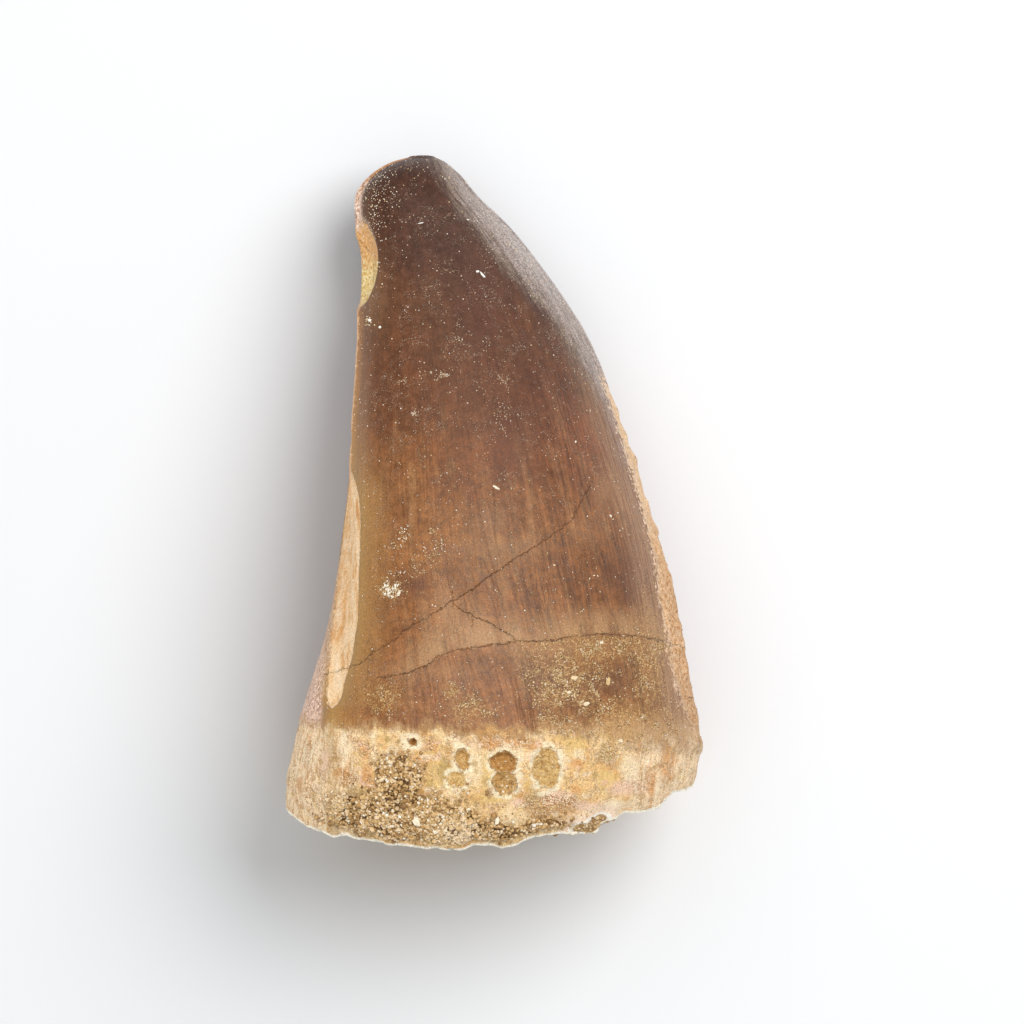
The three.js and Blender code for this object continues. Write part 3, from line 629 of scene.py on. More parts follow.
def make_mesh(name, points, faces, floats=None, vectors=None, smooth_faces=True):
    """An object from points in millimetres, with named values on its points. Points that meet are merged."""
    mesh = bpy.data.meshes.new(name)
    mesh.from_pydata(((points + SHIFT) * MM).tolist(), [], faces.tolist())
    for key, values in (floats or {}).items():
        data = mesh.attributes.new(key, "FLOAT", "POINT").data
        data.foreach_set("value", np.ravel(values).astype(np.float32))
    for key, values in (vectors or {}).items():
        data = mesh.attributes.new(key, "FLOAT_VECTOR", "POINT").data
        data.foreach_set("vector", np.ravel(values).astype(np.float32))
    work = bmesh.new()
    work.from_mesh(mesh)
    bmesh.ops.remove_doubles(work, verts=work.verts, dist=1e-8)
    work.to_mesh(mesh)
    work.free()
    mesh.polygons.foreach_set("use_smooth", [smooth_faces] * len(mesh.polygons))
    mesh.update()
    made = bpy.data.objects.new(name, mesh)
    bpy.context.scene.collection.objects.link(made)
    return made


def build_tooth(form):
    rows, count = form.broken.shape
    floats, vectors = form.facts()
    return make_mesh("tooth_surface", form.points.reshape(-1, 3), grid_faces(rows, count), floats, vectors)


# ---------------------------------------------------------------- the sandy matrix

CRUST_SKIRT = 0.3  # how far the crust goes on past its outline, inside the tooth
CRUST_DEPTH, PLUG_DEPTH = 0.75, 1.7  # how far the underside lies inside the tooth


def crust_surface(form):
    """The top of the crust over the root and of the plug in its end, and where they cover the tooth."""
    p = form.plain
    at, reach = (np.array(v) for v in PLUG)
    q = (p - at) / reach
    dome = at[1] - reach[1] * np.sqrt(np.maximum(1 - q[..., 0] ** 2 - q[..., 2] ** 2, 0))
    in_plug = (q[..., 0] ** 2 + q[..., 2] ** 2 < 1) & (form.broken > 0)
    bulge = np.where(in_plug, p[..., 1] - dome, OUTSIDE)
    cover = np.maximum(form.crust, bulge + 0.2 * fractal(p, 1.3, 3, 91))
    knobs = 0.07 * fractal(p, 1.0, 4, 92) + 0.05 * noise(p, 0.35, 96)
    over_root = -CRUST_SKIRT + 0.38 * smooth(form.crust, -0.25, 0.4)
    out = np.maximum(over_root, np.minimum(bulge, 1.6)) + knobs
    out -= 0.8 * form.broken * (1 - smooth(cover, -0.25, 0.15))
    top = p + form.normals * out[..., None]
    behind = np.maximum(top[..., 1], through(END_LINE, top[..., 0]) + 0.12)
    top[..., 1] = np.where(form.broken > 0, behind, top[..., 1])
    return top, cover


def build_crust(form):
    """A closed shell: the crust's top, its underside inside the tooth, and a wall around their outline."""
    top, cover = crust_surface(form)
    mask = cover > -CRUST_SKIRT
    depth = CRUST_DEPTH + (PLUG_DEPTH - CRUST_DEPTH) * form.broken
    under = form.plain - form.normals * depth[..., None]
    rows, count = mask.shape
    quads = grid_faces(rows, count)
    quads = quads[mask.reshape(-1)[quads].all(axis=1)]
    used, flat = np.unique(quads, return_inverse=True)
    quads = flat.reshape(-1, 4)
    edges = np.concatenate([quads[:, [k, (k + 1) % 4]] for k in range(4)])
    present = set(map(tuple, edges.tolist()))
    open_edges = np.array([(a, b) for a, b in present if (b, a) not in present])
    n = len(used)
    a, b = open_edges[:, 0], open_edges[:, 1]
    walls = np.stack([b, a, a + n, b + n], axis=-1)
    faces = np.concatenate([quads, quads[:, ::-1] + n, walls])
    points = np.concatenate([top.reshape(-1, 3)[used], under.reshape(-1, 3)[used]])
    edge = np.tile(form.edge.reshape(-1)[used], 2)
    return make_mesh("matrix_crust", points, faces, {"edge": edge})


def ball(splits):
    """Points and triangles of a round ball: an icosahedron, split a number of times."""
    work = bmesh.new()
    bmesh.ops.create_icosphere(work, subdivisions=splits + 1, radius=1)
    points = np.array([v.co[:] for v in work.verts])
    faces = np.array([[v.index for v in face.verts] for face in work.faces])
    work.free()
    return points, faces


def scatter(points, normals, density, count):
    """Random places on a grid's surface, more where the density is higher."""
    along = np.gradient(points, axis=0)
    across = (np.roll(points, -1, axis=1) - np.roll(points, 1, axis=1)) / 2
    area = np.linalg.norm(np.cross(along, across), axis=-1)
    weight = (area * density).reshape(-1)
    chosen = rng.choice(len(weight), count, p=weight / weight.sum())
    off = rng.uniform(-0.5, 0.5, (2, count, 1))
    flat = [v.reshape(-1, 3)[chosen] for v in (points, along, across, normals)]
    return flat[0] + off[0] * flat[1] + off[1] * flat[2], flat[3]


def turns(count):
    """Random turns, as matrices."""
    w, x, y, z = rng.normal(size=(4, count))
    size = np.sqrt(w * w + x * x + y * y + z * z)
    w, x, y, z = w / size, x / size, y / size, z / size
    return np.stack([
        np.stack([1 - 2 * (y * y + z * z), 2 * (x * y - z * w), 2 * (x * z + y * w)], axis=-1),
        np.stack([2 * (x * y + z * w), 1 - 2 * (x * x + z * z), 2 * (y * z - x * w)], axis=-1),
        np.stack([2 * (x * z - y * w), 2 * (y * z + x * w), 1 - 2 * (x * x + y * y)], axis=-1),
    ], axis=1)


def build_grains(name, spots, normals, sizes, tints, splits, sunk):
    """Angular grains as one joined mesh; sunk is the share of each that is below the surface."""
    unit, unit_faces = ball(splits)
    count, corners = len(spots), len(unit)
    stretch = rng.uniform(0.72, 1.25, (count, 1, 3))
    bumpy = 1 + rng.normal(0, 0.09, (count, corners, 1))
    shape = unit[None] * stretch * bumpy
    shape = np.einsum("nij,nkj->nki", turns(count), shape) * (sizes / 2)[:, None, None]
    centres = spots + normals * (sizes * (0.5 - sunk))[:, None]
    points = (shape + centres[:, None]).reshape(-1, 3)
    points[:, 2] = np.maximum(points[:, 2], 0)
    faces = (unit_faces[None] + corners * np.arange(count)[:, None, None]).reshape(-1, 3)
    return make_mesh(name, points, faces, {"tint": np.repeat(tints, corners)}, smooth_faces=False)


def grain_tints(count, shares):
    """Tints from 0 to 1: dark, olive, tan, beige and white grains in given shares."""
    kind = rng.choice(5, count, p=shares)
    return np.clip(0.1 + 0.2 * kind + rng.uniform(-0.08, 0.08, count), 0, 1)


GRAINS_SUNK = 0.4
LARGE_GRAINS = 60  # in the crust, and as many in the plug


def build_sand(form):
    """The grains of the crust over the root, sparser past its edge, and of the plug in the root's end."""
    top, cover = crust_surface(form)
    resting = np.where((cover > 0)[..., None], top, form.points)
    normals = grid_normals(resting)
    clumps = 0.25 + 0.75 * smooth(fractal(form.plain, 0.9, 3, 95), -0.4, 0.4)
    over_root = smooth(form.crust, -0.1, 0.35) + 0.05 * smooth(form.crust, -1.6, -0.2) * form.upper
    over_root = over_root * (1 - form.broken) * (1 - smooth(form.margin, -1.2, -0.4))
    over_root = over_root * smooth(form.edge, 0.25, 0.4)
    made = []
    for name, density, count in (
        ("apron_grains", over_root, 8000), ("plug_grains", smooth(cover, -0.2, 0.35) * form.broken, 2600),
    ):
        spots, directions = scatter(resting, normals, clumps * density, count)
        sizes = 0.1 + 0.24 * rng.random(count) ** 1.7
        sizes[:LARGE_GRAINS] = rng.uniform(0.36, 0.55, LARGE_GRAINS)
        tints = grain_tints(count, (0.03, 0.26, 0.4, 0.26, 0.05))
        paste = cluster(spots, -2.2, -23.6, 1.5, 1.1) + cluster(spots, -11.2, -20.6, 1.2, 1.4)
        tints = tints + (0.8 - tints) * np.minimum(paste, 0.75)
        made.append(build_grains(name, spots, directions, sizes, tints, 0, GRAINS_SUNK))
    return made


def build_clinging(form):
    """Sand and dust on the enamel: spots of it, a sparse scatter all over, and a few larger bits."""
    p, normals = form.points, form.normals
    on_enamel = smooth(form.margin, -0.6, 0.2) * (1 - form.broken)
    spots, directions, sizes, tints = [], [], [], []

    def add(density, count, size, shares):
        places, out = scatter(p, normals, density, count)
        spots.append(places)
        directions.append(out)
        sizes.append(size * rng.uniform(0.5, 1.5, count))
        tints.append(grain_tints(count, shares))

    clumps = smooth(fractal(p, 0.55, 3, 97), -0.1, 0.5)
    for x, y, wide, high, count, size in CLINGING:
        shares = (0, 0.05, 0.15, 0.35, 0.45) if y > 2 else (0.04, 0.22, 0.4, 0.29, 0.05)
        add(cluster(p, x, y, wide, high) * clumps * form.upper, count, size * 0.85, shares)
    for x, y, wide, high, count, size in PALE_DUST:
        add(cluster(p, x, y, wide, high) * form.upper, count, size, (0, 0, 0.05, 0.25, 0.7))
    add(on_enamel * form.upper * (0.15 + clumps), 1500, 0.072, (0, 0, 0.05, 0.35, 0.6))
    add(on_enamel * (1 - form.upper), 400, 0.06, (0, 0.1, 0.3, 0.4, 0.2))
    for pit, count in zip(PITS[:3], (8, 30, 22)):
        add(smooth(form.inside_pit(pit), 0, 0.3), count, 0.17, (0, 0.2, 0.35, 0.25, 0.2))
    add(smooth(form.notch, 0.1, 0.2), 40, 0.13, (0, 0.2, 0.4, 0.4, 0))
    joined = [np.concatenate(v) for v in (spots, directions, sizes, tints)]
    return build_grains("clinging_grains", *joined, 0, GRAINS_SUNK)


def build_bits(form):
    """The few larger pale bits, each lying at its place on the face."""
    face = form.plain[:, :FACE_COLUMNS].reshape(-1, 3)
    normals = form.normals[:, :FACE_COLUMNS].reshape(-1, 3)
    unit, unit_faces = ball(1)
    points, faces, tints = [], [], []
    for k, (x, y, long, wide, turn, tint) in enumerate(SAND_BITS):
        near = np.argmin(np.hypot(face[:, 0] - x, face[:, 1] - y))
        shape = unit * (long / 2, wide / 2, wide / 3) * (1 + rng.normal(0, 0.12, (len(unit), 1)))
        c, s = math.cos(math.radians(turn)), math.sin(math.radians(turn))
        shape = shape @ np.array([(c, s, 0), (-s, c, 0), (0, 0, 1)])
        points.append(shape + face[near] + normals[near] * wide / 6)
        faces.append(unit_faces + k * len(unit))
        tints += [tint] * len(unit)
    points, faces = np.concatenate(points), np.concatenate(faces)
    return make_mesh("pale_bits", points, faces, {"tint": tints}, smooth_faces=False)


# ---------------------------------------------------------------- materials

def tone(code):
    """A colour written as on screen, such as 9a6c4b, in the linear values that shaders take."""
    parts = [int(code[i:i + 2], 16) / 255 for i in (0, 2, 4)]
    return [v / 12.92 if v <= 0.04045 else ((v + 0.055) / 1.055) ** 2.4 for v in parts] + [1]


LINE_CORE = 0.3  # share of a thin line's width that is fully drawn


class Shader:
    """Builds a material's nodes from short calls; a value is a number, a colour or a node's output."""

    def __init__(self, name, roughness, specular=0.5):
        self.material = bpy.data.materials.new(name)
        self.material.use_nodes = True
        self.nodes, self.links = self.material.node_tree.nodes, self.material.node_tree.links
        self.surface = self.nodes["Principled BSDF"]
        self.surface.inputs["Roughness"].default_value = roughness
        self.surface.inputs["Specular IOR Level"].default_value = specular
        where = self.nodes.new("ShaderNodeTexCoord")
        self.place = self.vector("SCALE", where.outputs["Object"], 1 / MM)
        self.facing_up = self.split(where.outputs["Normal"])[2]

    def put(self, socket, value):
        """Links another node's output to a socket, or sets the socket's own value."""
        if isinstance(value, bpy.types.NodeSocket):
            self.links.new(value, socket)
        else:
            socket.default_value = value

    def fact(self, name, vector=False):
        """A value that the mesh carries on its points."""
        node = self.nodes.new("ShaderNodeAttribute")
        node.attribute_name = name
        return node.outputs["Vector" if vector else "Fac"]

    def split(self, value):
        """A vector's x, y and z."""
        node = self.nodes.new("ShaderNodeSeparateXYZ")
        self.put(node.inputs[0], value)
        return node.outputs[:]

    def math(self, operation, a, b=0.0, clamp=False):
        node = self.nodes.new("ShaderNodeMath")
        node.operation, node.use_clamp = operation, clamp
        self.put(node.inputs[0], a)
        self.put(node.inputs[1], b)
        return node.outputs[0]

    def fold(self, operation, values):
        total = values[0]
        for value in values[1:]:
            total = self.math(operation, total, value)
        return total

    def product(self, *values):
        return self.fold("MULTIPLY", values)

    def sum(self, *values):
        return self.fold("ADD", values)

    def most(self, *values):
        return self.fold("MAXIMUM", values)

    def size_of(self, value):
        """A value without its sign."""
        return self.math("ABSOLUTE", value)

    def vector(self, operation, a, b):
        node = self.nodes.new("ShaderNodeVectorMath")
        node.operation = operation
        self.put(node.inputs[0], a)
        self.put(node.inputs["Scale" if operation == "SCALE" else 1], b)
        return node.outputs[0]

    def rise(self, value, low, high, to_low=0.0, to_high=1.0):
        """A smooth step of a value, from to_low at low to to_high at high."""
        node = self.nodes.new("ShaderNodeMapRange")
        node.interpolation_type = "SMOOTHSTEP"
        for socket, v in zip(node.inputs, (value, low, high, to_low, to_high)):
            self.put(socket, v)
        return node.outputs[0]

    def noise(self, where, size, detail=3.0, rough=0.55, offset=0.0):
        """Noise from 0 to 1 with lumps about size millimetres across; each offset gives another noise."""
        node = self.nodes.new("ShaderNodeTexNoise")
        node.inputs["Scale"].default_value = 1 / size
        node.inputs["Detail"].default_value = detail
        node.inputs["Roughness"].default_value = rough
        self.put(node.inputs["Vector"], self.vector("ADD", where, (offset, 2.3 * offset, -offset)))
        return node.outputs["Fac"]

    def lines(self, where, size, width, offset=0.0):
        """Thin wavy lines where a noise passes its middle value."""
        value = self.noise(where, size, 2, 0.5, offset)
        away = self.size_of(self.math("SUBTRACT", value, 0.5))
        return self.rise(away, width, LINE_CORE * width)

    def blend_value(self, factor, a, b):
        """A number between a, where factor is 0, and b, where it is 1."""
        return self.math("ADD", a, self.product(factor, self.math("SUBTRACT", b, a)))

    def blend(self, factor, a, b, kind="MIX"):
        """A colour between a, where factor is 0, and b, where it is 1."""
        node = self.nodes.new("ShaderNodeMix")
        node.data_type, node.blend_type, node.clamp_factor = "RGBA", kind, True
        self.put(node.inputs["Factor"], factor)
        colours = [s for s in node.inputs if s.type == "RGBA"]
        for socket, value in zip(colours, (a, b)):
            self.put(socket, tone(value) if isinstance(value, str) else value)
        return next(s for s in node.outputs if s.type == "RGBA")

    def ramp(self, value, stops):
        """A colour for each value, softly between the stops."""
        node = self.nodes.new("ShaderNodeValToRGB")
        node.color_ramp.interpolation = "EASE"
        points = node.color_ramp.elements
        while len(points) < len(stops):
            points.new(0.5)
        for point, (at, colour) in zip(points, sorted(stops)):
            point.position, point.color = at, tone(colour)
        self.put(node.inputs[0], value)
        return node.outputs[0]

    def shade(self, colour, factor):
        """A colour made lighter or darker by a factor from a node."""
        grey = self.nodes.new("ShaderNodeCombineColor")
        for socket in grey.inputs[:3]:
            self.put(socket, factor)
        return self.blend(1.0, colour, grey.outputs[0], "MULTIPLY")

    def finish(self, colour, roughness=None, height=None):
        """The material with its colour, roughness and relief; height is in millimetres."""
        self.put(self.surface.inputs["Base Color"], colour)
        if roughness is not None:
            self.put(self.surface.inputs["Roughness"], roughness)
        if height is not None:
            bump = self.nodes.new("ShaderNodeBump")
            bump.inputs["Distance"].default_value = MM
            self.put(bump.inputs["Height"], height)
            self.links.new(bump.outputs[0], self.surface.inputs["Normal"])
        return self.material


class Coat:
    """A shader's colour, built up in layers."""

    def __init__(self, shader, base):
        self.shader, self.colour = shader, base

    def lay(self, tint, *strengths):
        """Lays a colour over the rest, as strongly as the product of the strengths."""
        self.colour = self.shader.blend(self.shader.product(*strengths), self.colour, tint)

    def shade(self, factor):
        """Makes all of it lighter or darker."""
        self.colour = self.shader.shade(self.colour, factor)


# The enamel's colours on its left and right, over the length between these two places.
ENAMEL_LOW, ENAMEL_HIGH = -17.0, 25.0
ENAMEL_LEFT = [
    (0.0, "935f37"), (0.1, "925e37"), (0.22, "935f35"), (0.35, "925f35"), (0.48, "804f2c"),
    (0.6, "6c4126"), (0.72, "633d26"), (0.86, "503021"), (1.0, "45271a"),
]
ENAMEL_RIGHT = [
    (0.0, "8a5b35"), (0.22, "7f4f2a"), (0.35, "80502c"), (0.5, "744225"), (0.62, "5b331d"),
    (0.78, "482819"), (1.0, "402418"),
]


class ToothShader(Shader):
    """The tooth's material: enamel over bare bone, with chip, worn ridges, cracks, pits and stains."""

    def __init__(self):
        super().__init__("fossil_tooth", 0.4, 0.28)
        self.flow = self.fact("flow", vector=True)
        self.y = self.split(self.flow)[2]
        self.x = self.split(self.place)[0]
        self.mottle = self.noise(self.place, 0.5, 4, 0.65, offset=11)
        self.crumb = self.noise(self.place, 0.22, 3, 0.7, offset=43)
        self.grit = self.noise(self.place, 0.1, 1, 0.5, offset=45)
        self.fine = self.noise(self.stretched(0.04), 0.17, 2, 0.6, offset=7)
        feather = self.rise(self.noise(self.stretched(0.5), 0.8, 4, 0.7, offset=71), 0.3, 0.7, -0.5, 0.5)
        self.past_crest = self.sum(self.fact("past_crest"), feather)
        self.shoulder = self.product(self.rise(self.past_crest, -0.35, 0.9), self.fact("upper"))
        self.streaked = self.product(
            self.rise(self.x, -8.0, 7.0, 0.45, 0.95),
            self.rise(self.y, 18, 2, 0.25, 1.0),
        )
        self.grooves = self.groove_lines()
        self.dust = self.dust_specks()
        self.cracks = self.crack_lines()

    def stretched(self, amount):
        """Places for noise drawn out along the tooth: the smaller the amount, the longer the streaks."""
        return self.vector("MULTIPLY", self.flow, (1, 1, amount))

    def crisp(self, size, low, high, offset, stretch=None, strength=1.0):
        """Hard-edged specks or streaks: where a noise passes from low to high."""
        where = self.place if stretch is None else self.stretched(stretch)
        return self.rise(self.noise(where, size, 3, 0.55, offset), low, high, 0.0, strength)

    def groove_lines(self):
        """Thin dark grooves along the tooth, mostly on the right of the lower crown."""
        drawn = self.most(
            self.lines(self.stretched(0.06), 0.8, 0.03, offset=15),
            self.product(self.lines(self.stretched(0.1), 0.5, 0.035, offset=19), 0.7),
            self.crisp(0.2, 0.62, 0.7, 20, stretch=0.09, strength=0.7),
        )
        patchy = self.crisp(1.3, 0.46, 0.6, 17, stretch=0.3)
        right = self.rise(self.x, -5.0, 7.0, 0.2, 0.8)
        return self.product(drawn, patchy, right)

    def dust_specks(self):
        """Pale dust in the enamel's grain: fine specks and short curls, thicker in some places."""
        thick = self.crisp(1.8, 0.46, 0.64, 23, strength=0.9)
        clumped = self.math("ADD", self.crisp(0.45, 0.5, 0.58, 24), 0.2, clamp=True)
        curled = self.lines(self.place, 0.2, 0.045, offset=8)
        curls = self.product(curled, self.crisp(0.16, 0.56, 0.6, 9), 0.5)
        specks = self.most(self.crisp(0.075, 0.58, 0.64, 4), curls)
        return self.product(specks, self.math("ADD", thick, 0.1), clumped)

    def crack_lines(self):
        """The hairline cracks, which wander a little and fade here and there."""
        wobble = self.rise(self.noise(self.place, 0.24, 3, 0.6, offset=63), 0.2, 0.8, -0.12, 0.12)
        strength = self.rise(self.noise(self.place, 1.1, 3, offset=65), 0.35, 0.6, 0.55, 1.0)
        drawn = []
        for crack in CRACKS:
            offset, opened = self.split(self.fact(crack[0], vector=True))[:2]
            away = self.size_of(self.sum(offset, wobble))
            drawn.append(self.product(self.rise(away, 0.05, 0.008), self.rise(opened, 0.05, 0.8)))
        return self.product(self.most(*drawn), strength)

    def enamel(self):
        """Dark to the tip, tan to the root and redder on the right, with streaks that run along the tooth.
        Painted sheen lies on the frosted grey right shoulder, in a band inside the worn right ridge and on
        the pale lower left flank.
        """
        cloud = self.noise(self.place, 3.4, 4)
        lifted = self.sum(self.y, self.rise(cloud, 0.25, 0.75, -1.8, 1.8))
        from_root = self.math("SUBTRACT", lifted, ENAMEL_LOW)
        up = self.math("DIVIDE", from_root, ENAMEL_HIGH - ENAMEL_LOW, clamp=True)
        broad = self.noise(self.stretched(0.12), 1.6, 3, offset=3)
        shifted = self.sum(self.x, self.rise(broad, 0.3, 0.7, -3.0, 3.0), self.product(self.y, 0.12))
        to_right = self.rise(shifted, -1.5, 6.0)
        coat = Coat(self, self.blend(to_right, self.ramp(up, ENAMEL_LEFT), self.ramp(up, ENAMEL_RIGHT)))
        patches = self.crisp(1.3, 0.52, 0.68, 5, stretch=0.35, strength=0.3)
        coat.lay("6e4129", patches, self.rise(self.y, 20, 8, 0.3, 1.0))
        pale = self.crisp(0.9, 0.5, 0.7, 2, stretch=0.2, strength=0.28)
        coat.lay("a9845a", pale, self.rise(self.y, 9, 2))
        blotch = self.noise(self.stretched(0.6), 1.1, 4, 0.6, offset=6)
        coat.shade(self.rise(blotch, 0.32, 0.68, 0.87, 1.14))
        drawn = self.rise(self.fine, 0.34, 0.66, 0.8, 1.19)
        coat.shade(self.blend_value(self.streaked, 1.0, drawn))
        coat.shade(self.rise(self.mottle, 0.34, 0.66, 0.83, 1.17))
        coat.lay("b98d63", self.fact("light"))
        coat.lay("5f3829", self.fact("dark"))
        coat.lay("ae8049", self.rise(self.fact("strip"), -3.0, -0.3), self.rise(self.y, 6, 0), 0.75)
        coat.lay("4a2a1b", self.grooves, 0.65)
        streaky = self.rise(self.noise(self.stretched(0.12), 0.6, 3, offset=19), 0.35, 0.6, 0.35, 1.0)
        coat.lay("b78c60", self.fact("band"), streaky, 0.78)
        # A lighter pinkish-brown band inside the worn right ridge: painted sheen.
        coat.lay(
            self.ramp(self.fine, [(0.35, "8a5f44"), (0.6, "ae8766")]),
            self.rise(self.fact("right_edge"), -2.6, -0.6),
            self.rise(self.y, 14, 7),
            self.rise(self.y, -8, -14, 0.7, 0.85),
        )
        # The lower left flank: its own pale pinkish-grey tint, with painted sheen.
        flank_tint_and_sheen = self.ramp(self.crumb, [
            (0.34, "93694f"), (0.45, "d8ad93"), (0.56, "efcab1"), (0.68, "fff0e2"),
        ])
        flank_tint_and_sheen = self.shade(flank_tint_and_sheen, self.rise(self.grit, 0.34, 0.66, 0.85, 1.15))
        coat.lay(flank_tint_and_sheen, self.fact("flank"), 0.95)
        # The grey on the right shoulder: partly the enamel's own frosted grey, partly painted sheen, lighter
        # towards the outline and the tip.
        bloom_and_sheen = self.ramp(self.product(self.past_crest, 0.4), [
            (0.0, "5f4a40"), (0.3, "85705f"), (0.6, "a6938a"), (1.0, "beaea5"),
        ])
        bloom_and_sheen = self.shade(bloom_and_sheen, self.rise(self.crumb, 0.34, 0.66, 0.7, 1.25))
        bloom_and_sheen = self.shade(bloom_and_sheen, self.rise(self.grit, 0.34, 0.66, 0.7, 1.24))
        outer = self.sum(self.y, self.product(self.past_crest, 3.5))
        coat.lay(bloom_and_sheen, self.shoulder, self.rise(outer, 6, 16, 0.05, 0.92))
        wrinkles = self.most(
            self.lines(self.stretched(0.3), 1.5, 0.022, 33),
            self.crisp(0.16, 0.56, 0.62, 34, 0.12, 0.8),
        )
        coat.lay("43302a", self.shoulder, wrinkles, 0.42)
        coat.lay("f0d0b4", self.dust, self.rise(self.y, -12, 4, 0.6, 0.9))
        coat.lay("38211a", self.crisp(0.16, 0.62, 0.7, 10, strength=0.35))
        veil = self.fact("veil")
        coat.lay("a87b45", veil, 0.4)
        grains = self.ramp(self.grit, [
            (0.32, "704a2a"), (0.45, "a87a45"), (0.58, "c9a066"), (0.72, "e6cb9c"),
        ])
        coat.lay(grains, veil, self.crisp(0.3, 0.46, 0.56, 25), 0.75)
        return coat.colour

    def bone(self):
        """Bare bone: cream, with orange, olive and pink stains, fibres on the flanks and fine dark pores.
        Painted light makes its flanks paler, and painted highlights lie beside its dark crackle.
        """
        soft = self.noise(self.stretched(0.7), 1.5, 3, 0.5, offset=27)
        coat = Coat(self, self.ramp(soft, [
            (0.3, "e6ac65"), (0.44, "f4c686"), (0.56, "fbd69e"), (0.7, "ffe2b6"),
        ]))
        sides = self.rise(self.size_of(self.x), 8.5, 11.5)
        # Painted light: the root's flanks are painted paler.
        coat.lay("ffe2bc", sides, 0.85)
        for k, (kind, (tint, strength, *_)) in enumerate(STAINS.items()):
            scattered = self.crisp(0.9, 0.6, 0.66, 62 + 2 * k, strength=0.6)
            coat.lay(tint, self.most(self.product(self.fact(kind), strength), scattered))
        rough = self.crisp(1.2, 0.42, 0.6, 44, strength=0.8)
        smooth_bone = self.rise(self.most(self.fact("white"), self.fact("yellow")), 0.2, 0.8, 1.0, 0.25)
        weathered = self.product(self.sum(rough, 0.2, self.product(self.fact("brown"), 0.6)), smooth_bone)
        # The crackle: dark lines, and the same lines shifted a little aside in cream as painted highlights,
        # which together paint the relief's light and shade; pale and dark specks among them.
        aside = self.vector("ADD", self.place, (0.05, 0.05, 0.0))
        pale_specks_and_highlights = self.most(self.lines(aside, 0.3, 0.07, 48), self.crisp(0.13, 0.56, 0.62, 49))
        dark_specks = self.crisp(0.12, 0.57, 0.64, 46, strength=0.8)
        dark_crackle_and_shade = self.most(self.lines(self.place, 0.3, 0.07, 48), dark_specks)
        coat.lay("fff0d2", pale_specks_and_highlights, weathered, 0.45)
        coat.lay("a9733b", dark_crackle_and_shade, weathered, 0.6)
        coat.shade(self.rise(self.crumb, 0.32, 0.68, 0.92, 1.08))
        fibres = self.noise(self.stretched(0.15), 0.26, 4, 0.65, offset=42)
        fibrous = self.sum(self.product(sides, 0.8), 0.12)
        coat.lay("cd9660", self.rise(fibres, 0.46, 0.37), fibrous, 0.7)
        coat.lay("ffecca", self.rise(fibres, 0.56, 0.66), fibrous, 0.8)
        coat.lay("7f5a30", self.crisp(0.2, 0.58, 0.64, 13), self.crisp(1.2, 0.48, 0.6, 45), smooth_bone, 0.6)
        inner = self.ramp(self.noise(self.place, 0.7, 4, offset=45), [
            (0.3, "a9855a"), (0.5, "cba878"), (0.7, "dcc39a"),
        ])
        coat.lay(inner, self.fact("broken"), 0.8)
        self.add_pits(coat)
        return coat.colour

    def add_pits(self, coat):
        """The pits in their pale rings, and the sediment in the broken rim's notch."""
        pit = self.fact("pit")
        dark = self.ramp(self.crumb, [
            (0.3, "92622f"), (0.42, "b27e43"), (0.56, "c79557"), (0.7, "dbb27a"),
        ])
        pale = self.ramp(self.crumb, [
            (0.3, "ab7d40"), (0.42, "cfa263"), (0.56, "e0bc7e"), (0.7, "efd49e"),
        ])
        coat.lay("fdeecb", self.rise(pit, -0.45, -0.2), self.crisp(0.5, 0.36, 0.56, 61), 0.75)
        less_if_pale = self.rise(self.fact("pit_tone"), 0.5, 1.0, 1.0, 0.5)
        coat.lay("7c5228", self.rise(pit, -0.1, -0.02), self.crisp(0.3, 0.4, 0.54, 59), 0.7, less_if_pale)
        coat.lay(self.blend(self.fact("pit_tone"), dark, pale), self.rise(pit, 0.0, 0.07))
        notch = self.fact("notch")
        coat.lay("ffe6cc", self.rise(notch, -1.2, -0.4), 0.5)
        coat.lay("fbdcc4", self.rise(notch, -0.6, -0.15), 0.6)
        # The notch's thin white lip: partly pale bone, partly painted highlight along its edge.
        coat.lay("fff6e6", self.rise(notch, -0.2, -0.1))
        sediment = self.ramp(self.crumb, [
            (0.3, "7c5c38"), (0.45, "b08a58"), (0.6, "d8b47e"), (0.75, "f0d8b0"),
        ])
        coat.lay(sediment, self.rise(notch, -0.05, 0.08))

    def add_worn_ridges(self, coat, ragged, margin):
        """The strip worn along the left ridge and the gnawed right edge, which show the dentine."""
        strip = self.sum(self.fact("strip"), self.product(ragged, 0.4))
        dentine = self.ramp(self.noise(self.stretched(0.5), 0.8, 4, offset=54), [
            (0.3, "e2a468"), (0.4, "f2c48e"), (0.5, "fcd6a8"), (0.7, "ffe4c2"),
        ])
        orange_side = self.product(
            self.rise(self.fact("strip_side"), 0.4, -0.1),
            self.rise(self.y, -11.5, -9.0),
            self.rise(self.noise(self.place, 0.5, 4, 0.7, offset=58), 0.4, 0.6, 0.05, 0.5),
        )
        dentine = self.blend(orange_side, dentine, "e0a061")
        specks = self.product(self.crisp(0.18, 0.58, 0.68, 55), self.rise(self.y, -12, -9, 0.08, 0.4))
        dentine = self.blend(specks, dentine, "b87a40")
        coat.lay("b08a52", self.rise(strip, -0.9, -0.05), 0.5)
        coat.lay(dentine, self.rise(strip, -0.04, 0.08))
        worn = self.sum(self.fact("worn"), self.product(ragged, 1.6))
        gnawed = self.ramp(self.noise(self.place, 0.3, 4, 0.75, offset=57), [
            (0.32, "98693f"), (0.41, "c9935f"), (0.5, "e0b084"), (0.6, "ecc69c"), (0.75, "f8e2c2"),
        ])
        paler_up = self.rise(self.sum(self.y, self.product(ragged, 9)), -6.0, 1.5, 0, 0.75)
        gnawed = self.blend(paler_up, gnawed, "f3cda4")
